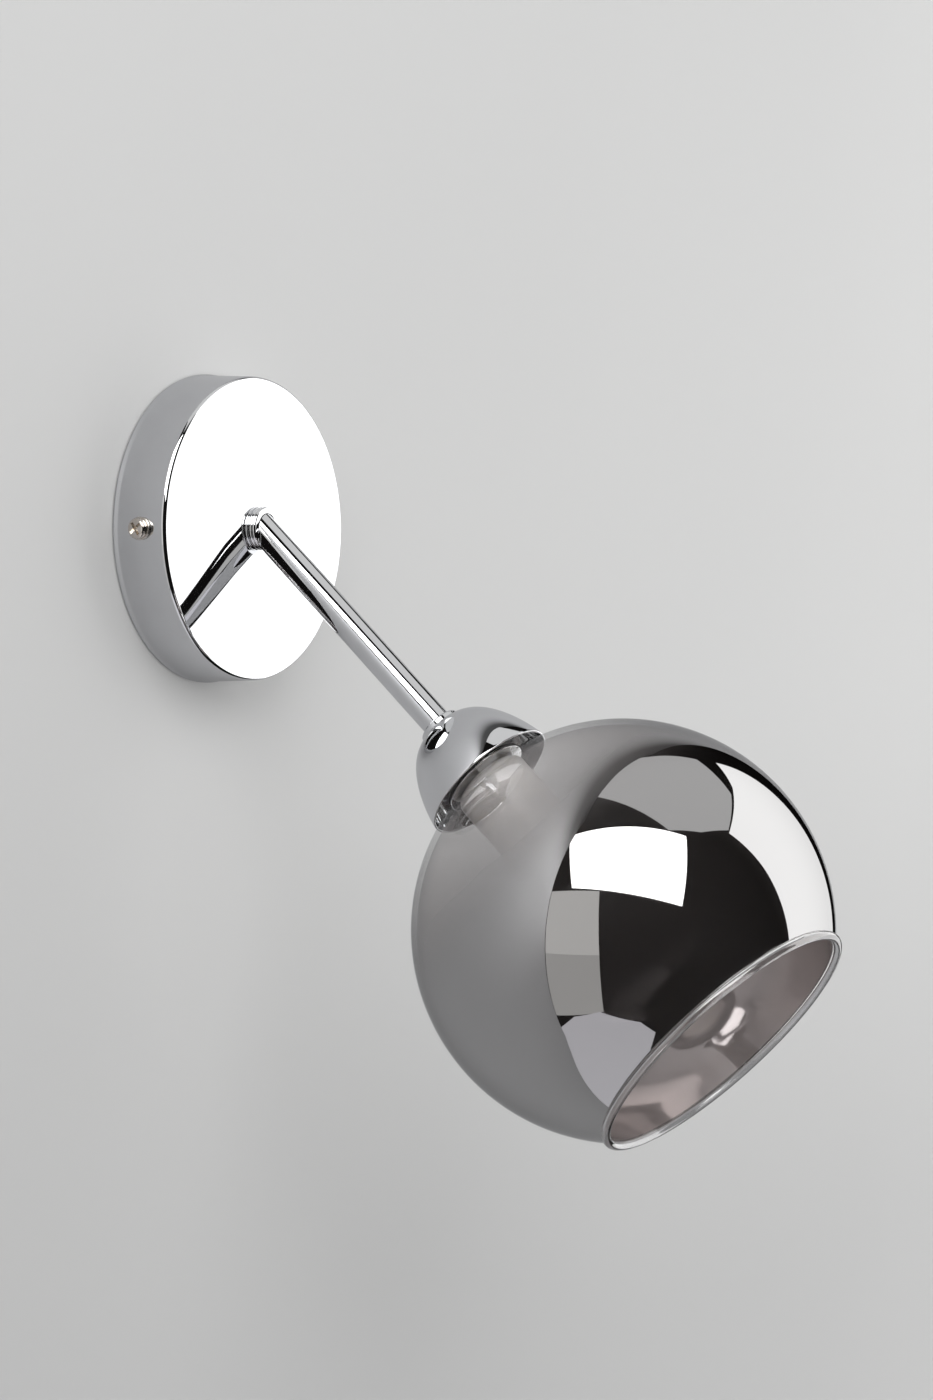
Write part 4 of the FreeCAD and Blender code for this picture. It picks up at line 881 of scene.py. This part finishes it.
# %% Lamp holder
HOLDER_TOP = 114.8
HOLDER_SEAM = 122.3
SKIRT_TOP = 141.0
HOLDER_END = 154.0
HOLDER_RADIUS = 12.3
SKIRT_RADIUS = 14.0
SLEEVE_BORE, SLEEVE_MOUTH = 10.6, 9.6
SHELL_TOP, SHELL_END = 132.25, 146.3
SHELL_INSIDE, SHELL_OUTSIDE = 7.02, 7.32


def holder_top():
    profile = rounded([
        # the crown and the side
        (4.0, HOLDER_TOP), (7.5, HOLDER_TOP, 0.6), (HOLDER_RADIUS, HOLDER_TOP + 1.25, 2.5),
        (HOLDER_RADIUS, HOLDER_SEAM, 0.12),
        # the spigot inside the sleeve
        (10.57, HOLDER_SEAM), (10.57, 124.3), (9.67, 124.3),
        # the inside, and the boss that the nipple screws into
        (9.67, 118.2, 1.5), (5.7, 118.2), (5.7, 120.1), (4.0, 120.1),
    ])
    turned_piece("holder_top", profile, HOLDER_WHITE, 96, "arm",
                 "holder_cap", ARM_FRAME)


def holder_sleeve():
    profile = rounded([
        (SLEEVE_BORE, HOLDER_SEAM, 0.1), (HOLDER_RADIUS, HOLDER_SEAM, 0.12),
        (HOLDER_RADIUS, SKIRT_TOP, 0.25), (SKIRT_RADIUS, SKIRT_TOP, 0.35),
        (SKIRT_RADIUS, HOLDER_END, 0.6), (SLEEVE_MOUTH, HOLDER_END, 0.6),
        (SLEEVE_MOUTH, 147.5), (SLEEVE_BORE, 147.5),
    ])
    profile = add_rows(profile, 13.9, 141.5, 153.0, 0.13)
    thread = (1.5, 0.7, 141.6, 153.2, 13.0, 1.6)
    turned_piece("holder_sleeve", profile, HOLDER_WHITE, 96, "arm",
                 "holder_shell", ARM_FRAME, thread)


def socket_shell():
    profile = rounded([
        (SHELL_INSIDE, SHELL_TOP, 0.1), (SHELL_OUTSIDE, SHELL_TOP, 0.1),
        (SHELL_OUTSIDE, SHELL_END, 0.1), (SHELL_INSIDE, SHELL_END, 0.1),
    ], steps=3)
    profile = add_rows(profile, 7.0, SHELL_TOP, SHELL_END, 0.22)
    thread = (2.82, 0.8, SHELL_TOP + 0.2, SHELL_END + 1.5, 6.5, 0.8)
    turned_piece("socket_shell", profile, BRASS, 96, "arm", "screw_shell",
                 ARM_FRAME, thread)


holder_top()
holder_sleeve()
socket_shell()

# %% [markdown]
# A fastener is a turned head with a cross pressed into it. The cross is two narrow wedges with
# sloping ends. Each is a four-sided cone, turned by half a corner so that its sides lie along the
# slot, squashed and hung upside down from above the head. The tree subtracts both from the head.

# %% The screw tree
RECESS_TURNS = (math.radians(35), math.radians(125))
WEDGE_TIP = 0.45  # of the wedge's size at its wide end
WEDGE_PROUD = 0.6  # of the recess's depth, above the head
CORNER_TO_SIDE = math.sqrt(0.5)


def screw_tree():
    sockets = [(label, "NodeSocketFloat") for label in ("Top", "Span", "Slot", "Depth")]
    board, given = new_geometry_tree("cross_recess", sockets)
    cone = board.node("GeometryNodeMeshCone", inputs={
        "Vertices": 4, "Radius Top": WEDGE_TIP, "Radius Bottom": 1.0, "Depth": 1.0})
    wings = []
    for turn in RECESS_TURNS:
        size = board.point(given["Span"] * CORNER_TO_SIDE, given["Slot"] * CORNER_TO_SIDE,
                           given["Depth"] * -(1 + WEDGE_PROUD))
        upright = board.node("GeometryNodeTransform", inputs={
            "Geometry": cone, "Rotation": (0.0, 0.0, math.pi / 4)})
        square = board.node("GeometryNodeTransform", inputs={"Geometry": upright, "Scale": size})
        lift = board.point(0.0, 0.0, given["Top"] + given["Depth"] * WEDGE_PROUD)
        wings.append(board.node("GeometryNodeTransform", inputs={
            "Geometry": square, "Translation": lift, "Rotation": (0.0, 0.0, turn)}))
    cutter = board.node("GeometryNodeMeshBoolean", {"operation": "UNION", "solver": "EXACT"},
                        {"Mesh 2": wings})
    cut = board.node("GeometryNodeMeshBoolean", {"operation": "DIFFERENCE", "solver": "EXACT"},
                     {"Mesh 1": given["Geometry"], "Mesh 2": cutter})
    return close_tree(board, cut, given["Finish"])


SCREW = screw_tree()

# %% [markdown]
# A pan-head screw on each side holds the plate on its bracket. Each is one profile with three
# trees on it: turned, threaded and crossed. The place of its tip is read from its solid.

# %% Side screws
SIDE_LEVEL = 10.6
WASHER_SEAT = 49.3625
WASHER_THICK = 0.8
HEAD_GAP = 0.075
HEAD_HEIGHT = 2.1
HEAD_RADIUS = 3.3
THREAD_RADIUS = 1.72
SIDES = {"left": -1, "right": 1}
RECESS = {"Span": 5.8 * MM, "Slot": 1.25 * MM, "Depth": 1.3 * MM}


def side_frame(side):
    """Frame of a piece drawn along z that points out through the plate's side."""
    turn = Matrix.Rotation(math.radians(90 * side), 4, "Y")
    return Matrix.Translation((0, -SIDE_LEVEL * MM, 0)) @ turn


def side_screw(word, side):
    node = "side_screw_" + word
    under = WASHER_SEAT + WASHER_THICK + HEAD_GAP
    top = under + HEAD_HEIGHT
    low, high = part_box(node)
    tip = min(abs(low.x), abs(high.x)) / MM
    profile = rounded([
        (0.0, tip), (THREAD_RADIUS, tip, 0.4), (THREAD_RADIUS, under), (HEAD_RADIUS, under, 0.15),
        (HEAD_RADIUS, top, 1.15), (0.0, top),
    ], steps=12, closed=False)
    profile = add_rows(profile, 1.7, tip, under, 0.08)
    obj = profile_object(profile)
    add_tree(obj, TURNING, {"Segments": 64, "Finish": NICKEL})
    add_thread(obj, (0.6, 0.28, tip + 0.2, under - 0.8, 1.5, 1.0), NICKEL)
    add_tree(obj, SCREW, {**RECESS, "Top": top * MM, "Finish": NICKEL})
    mesh = plain_mesh(obj, node + "_cut")
    tidy_mesh(mesh)
    place(mesh, node + "_cut", "screw_" + word, node, side_frame(side))


for word, side in SIDES.items():
    side_screw(word, side)

# %% [markdown]
# The two washers under the side screws come from one turned ring. A tree instances it on two points
# and turns each copy so that it faces out of the plate's side.

# %% The placing tree and the washers
WASHER_HOLE, WASHER_RADIUS = 1.95, 3.7


def placing_tree():
    board, given = new_geometry_tree("placing", [("Piece", "NodeSocketObject")])
    piece = board.node("GeometryNodeObjectInfo", inputs={"Object": given["Piece"]},
                       output="Geometry")
    normal = board.node("GeometryNodeInputNamedAttribute", {"data_type": "FLOAT_VECTOR"},
                        {"Name": "facing"})
    turn = board.node("FunctionNodeAlignRotationToVector", {"axis": "Z"}, {"Vector": normal})
    copies = board.node("GeometryNodeInstanceOnPoints", inputs={
        "Points": given["Geometry"], "Instance": piece, "Rotation": turn})
    return close_tree(board, copies, given["Finish"])


PLACING = placing_tree()


def washer_points():
    """A point at each washer's seat, with the way it faces as an attribute."""
    points = bpy.data.meshes.new("points")
    seats = [Vector((side * WASHER_SEAT, -SIDE_LEVEL, 0)) * MM for side in SIDES.values()]
    points.from_pydata(seats, [], [])
    facing = points.attributes.new("facing", "FLOAT_VECTOR", "POINT")
    for n, side in enumerate(SIDES.values()):
        facing.data[n].vector = (side, 0, 0)
    return new_object("washer_points", points)


def side_washers():
    profile = rounded([
        (WASHER_HOLE, 0.0), (WASHER_RADIUS, 0.0, 0.15),
        (WASHER_RADIUS, WASHER_THICK, 0.2), (WASHER_HOLE, WASHER_THICK, 0.1),
    ], steps=5)
    ring = new_object("ring", turned_mesh("washer_ring", profile, WASHER_STEEL, 72))
    carrier = washer_points()
    add_tree(carrier, PLACING, {"Piece": ring, "Finish": WASHER_STEEL})
    mesh = plain_mesh(carrier, "side_washer_pair")
    bpy.data.objects.remove(ring)
    tidy_mesh(mesh)
    place(mesh, "side_washer_pair", "plate", "side_washers")


side_washers()

# %% [markdown]
# What is behind the plate and inside the cap keeps the shape of its solid. Each gets a welded,
# smooth copy so that round faces catch the light as round, and the finish that such a piece has.

# %% Smooth copies of the hidden pieces
COPY_SHARP_ANGLE = 28.0
FINISHES = {
    "zinc_steel": ZINC, "nickel_steel": NICKEL, "brass": BRASS, "tinned_brass": TINNED,
    "spring_bronze": BRONZE, "insert_plastic": INSERT_CREAM,
    "connector_plastic": CONNECTOR_WHITE, "gasket_rubber": GASKET, "fibre": FIBRE,
    "earth_insulation": EARTH, "core_insulation": CORE, "lead_sheath": SHEATH,
}


def smooth_copy(node, body, material):
    mesh = frame["nodes"][node].data.copy()
    mesh.name = node + "_smooth"
    mesh.materials.clear()
    mesh.materials.append(material)
    tidy_mesh(mesh, COPY_SHARP_ANGLE)
    for polygon in mesh.polygons:
        polygon.material_index = 0
    place(mesh, node + "_smooth", body, node)


def dress_the_rest():
    done = {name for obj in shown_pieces() for name in obj.get("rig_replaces", [])}
    slots = {part["node"]: part["material_slot"] for part in frame["record"]["subparts"]}
    for body, nodes in frame["record"]["behaviour"]["bodies"].items():
        for node in nodes:
            if node not in done:
                finish = POLISHED if node == "clamp_disc" else FINISHES[slots[node]]
                smooth_copy(node, body, finish)


dress_the_rest()

# %% [markdown]
# The room is plain. A pale wall stands behind the light, open only behind the plate so that the
# back can be looked at, and not drawn from behind. Its colour is painted lighter higher up.
# Chrome and mirror glass show the room itself, so they get a second sheet in its place, dimmer,
# with painted shade above and painted light at its upper left.

# %% Walls
WALL_LEVEL = 0.0003
WALL_HOLE = 0.046
HOLE_POINTS = 96
FLOOR_LEVEL = -1.15


def staged(name, mesh, material):
    mesh.materials.append(material)
    made = new_object(name, mesh)
    print(name, "has", len(mesh.vertices), "corners")
    return made


def seen_directly(obj):
    """Seen and lit as it stands, but not mirrored."""
    obj.visible_glossy = False
    obj.visible_transmission = False


def seen_in_mirrors(obj, lights=False):
    """Seen only in reflections. It lights what is near only if it is told to."""
    obj.visible_camera = False
    obj.visible_diffuse = lights
    obj.visible_shadow = False


def see_through_back(board, paint):
    clear = board.node("ShaderNodeBsdfTransparent")
    behind = board.node("ShaderNodeNewGeometry", output="Backfacing")
    mixed = board.node("ShaderNodeMixShader", inputs={0: behind, 1: paint, 2: clear})
    return finished(board, mixed)


def wall_paint_with_painted_light():
    board = new_material("wall_paint_with_painted_light")
    where = object_place(board)
    _, _, up = board.split(where)
    # Lighter higher up and darker towards the foot: painted light and shade. The noise is the
    # paint's own uneven tone.
    tone = 0.3 * noise(board, where, 3.0) + board.ease(up, -0.34, -0.06, 0.0, 0.7)
    return see_through_back(board, principled(board, {
        "Base Color": blend_colours(board, tone, (0.55, 0.55, 0.546), (0.675, 0.675, 0.668)),
        "Roughness": 0.9,
    }))


def shaded_paint():
    """Mirrored wall with painted shade and light: dimmer, brighter upper left, fading out above."""
    board = new_material("shaded_wall_paint")
    across, _, up = board.split(object_place(board))
    # Painted light at the upper left and painted shade towards the top, for how light falls on the
    # wall.
    painted_light_upper_left = board.ease(across, -0.42, -0.04, 1.0, 0.0) * board.ease(up, -0.32, 0.06)
    painted_shade_above = board.ease(up, 0.22, 0.85, 1.0, 0.05)
    tone = (0.62 + 0.38 * painted_light_upper_left) * painted_shade_above
    return see_through_back(board, principled(board, {
        "Base Color": blend_colours(board, tone, (0.01, 0.01, 0.01), (0.68, 0.68, 0.69)),
        "Roughness": 0.9,
    }))


def wall_with_hole(name, left, right, low, high, material):
    """Upright sheet just behind the plate, facing the room, open behind the plate."""
    work = bmesh.new()
    ends = [(left, low), (right, low), (right, high), (left, high)]
    outer = [work.verts.new((x, WALL_LEVEL, z)) for x, z in ends]
    around = [FULL_TURN * n / HOLE_POINTS for n in range(HOLE_POINTS)]
    inner = [work.verts.new((WALL_HOLE * math.cos(a), WALL_LEVEL, WALL_HOLE * math.sin(a)))
             for a in around]
    edges = []
    for loop in (outer, inner):
        for n, vertex in enumerate(loop):
            edges.append(work.edges.new((vertex, loop[(n + 1) % len(loop)])))
    bmesh.ops.triangle_fill(work, edges=edges, use_beauty=True, normal=(0, -1, 0))
    for face in work.faces:
        face.normal_update()
        if face.normal.y > 0:
            face.normal_flip()
    mesh = bpy.data.meshes.new(name)
    work.to_mesh(mesh)
    work.free()
    return staged(name, mesh, material)


seen_directly(wall_with_hole("wall", -4.0, 4.0, FLOOR_LEVEL, 3.0, wall_paint_with_painted_light()))
seen_in_mirrors(wall_with_hole("mirrored_backdrop", -0.83, 0.86, FLOOR_LEVEL, 1.5, shaded_paint()))

# %% [markdown]
# The floor is a plain pale sheet, far below the picture. It sends soft light up on to undersides.

# %% Floor


def sheet(name, vertices, faces, material):
    mesh = bpy.data.meshes.new(name)
    mesh.from_pydata(vertices, [], faces)
    return staged(name, mesh, material)


def floor_paint():
    board = new_material("floor_paint")
    tone = noise(board, object_place(board), 2.0)
    return finished(board, principled(board, {
        "Base Color": blend_colours(board, tone, (0.66, 0.66, 0.665), (0.69, 0.69, 0.69)),
        "Roughness": 0.85,
    }))


def pale_floor():
    corners = [(x, y, FLOOR_LEVEL) for x, y in ((-4, -6), (4, -6), (4, 0), (-4, 0))]
    return sheet("floor", corners, [(0, 1, 2, 3)], floor_paint())


seen_directly(pale_floor())

# %% [markdown]
# Pale cards, a softbox and an unlit room stand round the light, seen only in reflections. A card is
# placed by the directions in which the globe sees its corners. It glows evenly, like a lit sheet of
# paper, so that the reflections have clean edges.

# %% Cards and room
GLOBE_PLACE = ARM_FRAME @ Vector((0, 0, GLOBE_CENTRE * MM))
WHITE = (1.0, 1.0, 1.0)
PANEL_WHITE = (1.0, 0.99, 0.97)
DARK_ROOM_REACH = 5.0


def glow(name, colour, strength):
    board = new_material(name)
    inputs = {"Color": (*colour, 1.0), "Strength": strength}
    return finished(board, board.node("ShaderNodeEmission", inputs=inputs))


def glowing_sheet(name, points, faces, colour, strength, lights=False):
    seen_in_mirrors(sheet(name, points, faces, glow(name, colour, strength)), lights)


def card(name, corners, distance, colour, strength, lights=False):
    """Flat sheet whose corners are seen from the globe at (azimuth, elevation)."""
    directions = [towards(azimuth, elevation) for azimuth, elevation in corners]
    middle = sum(directions, Vector()).normalized()
    points = [GLOBE_PLACE + d * (distance / d.dot(middle)) for d in directions]
    glowing_sheet(name, points, [tuple(range(len(points)))], colour, strength, lights)


def dark_room():
    """The unlit rest of the room, a large box seen only in reflections."""
    ends = (-DARK_ROOM_REACH, DARK_ROOM_REACH)
    points = [(x, y, z) for x in ends for y in ends for z in ends]
    faces = [(0, 1, 3, 2), (4, 6, 7, 5), (0, 4, 5, 1), (2, 3, 7, 6), (0, 2, 6, 4), (1, 5, 7, 3)]
    glowing_sheet("dark_room", points, faces, (1.0, 0.92, 0.88), 0.006)


def room_behind():
    """A lit surface behind the wall, for the plate's open back to mirror."""
    points = [(x, 3.0, z) for x, z in ((-5.0, -4.0), (5.0, -4.0), (5.0, 5.0), (-5.0, 5.0))]
    glowing_sheet("room_behind", points, [(0, 1, 2, 3)], WHITE, 0.4)


dark_room()
room_behind()
card("right_card", [
    (24.2, 43), (42.6, 45.5), (67.6, 44), (87.5, 41), (90, 18), (92, 0), (96, -30), (52, -34),
    (33, -30), (37, -4), (34, 9.7), (31, 24.2),
], 1.3, WHITE, 1.65, lights=True)
card("overhead_card", [
    (25.6, 44), (60.3, 46), (87.5, 48.9), (100.4, 65.3), (147.9, 76.1), (-152.9, 76.4),
    (-135.1, 73.6), (-19.5, 57), (4.7, 50.2),
], 1.5, WHITE, 0.66, lights=True)
card("left_panel_top", [
    (-101, 24), (-73.8, 26.6), (-72.6, -6), (-101, -6),
], 1.5, PANEL_WHITE, 0.74)
card("left_panel_foot", [
    (-101, -6), (-72.6, -6), (-71.7, -35.8), (-101, -37),
], 1.5, PANEL_WHITE, 0.52)
card("low_table", [
    (-100.5, -43), (-90, -38), (-74, -35.7), (-49.4, -41.3), (-38.3, -46.7), (-37.5, -71.8),
    (135.4, -74.1), (-128, -74), (-106, -54),
], 1.2, (0.955, 0.945, 1.0), 0.72)
card("softbox_face", [
    (-104, 52.7), (-9, 51.4), (-28.3, 17.7), (-89.8, 27),
], 1.3, WHITE, 3.6)

# %% [markdown]
# The light is one large area lamp at the softbox and an even sky. Reflections show the softbox's
# card, so the lamp is hidden from them. The sky is brighter where it is looked at than where it
# lights.

# %% Lights
SOFTBOX_AZIMUTH, SOFTBOX_RISE, SOFTBOX_DISTANCE = -57.5, 41.0, 1.35


def softbox():
    data = bpy.data.lights.new("softbox", "AREA")
    data.shape = "RECTANGLE"
    data.size = 1.5
    data.size_y = 1.0
    data.energy = 11.6
    made = new_object("softbox", data)
    way = towards(SOFTBOX_AZIMUTH, SOFTBOX_RISE)
    made.location = GLOBE_PLACE + way * SOFTBOX_DISTANCE
    look_against(made, way)
    made.visible_camera = False
    made.visible_glossy = False
    print("softbox gives", round(data.energy, 1), "W")


def surroundings():
    """World light: an even pale sky for whatever is lit, and the background that is seen."""
    world = bpy.data.worlds.new("surroundings")
    bpy.context.scene.world = world
    world.use_nodes = True
    world.node_tree.nodes.clear()
    board = Board(world.node_tree)
    path = board.node("ShaderNodeLightPath").socket.node.outputs
    ways = [Value(board, path[f"Is {way} Ray"]) for way in ("Camera", "Glossy", "Transmission")]
    seen = ways[0].then("MAXIMUM", ways[1].then("MAXIMUM", ways[2]))
    sky = board.node("ShaderNodeBackground",
                     inputs={"Color": (0.98, 0.985, 1.0, 1.0), "Strength": 0.50 + 0.16 * seen})
    board.node("ShaderNodeOutputWorld", inputs={"Surface": sky})


softbox()
surroundings()
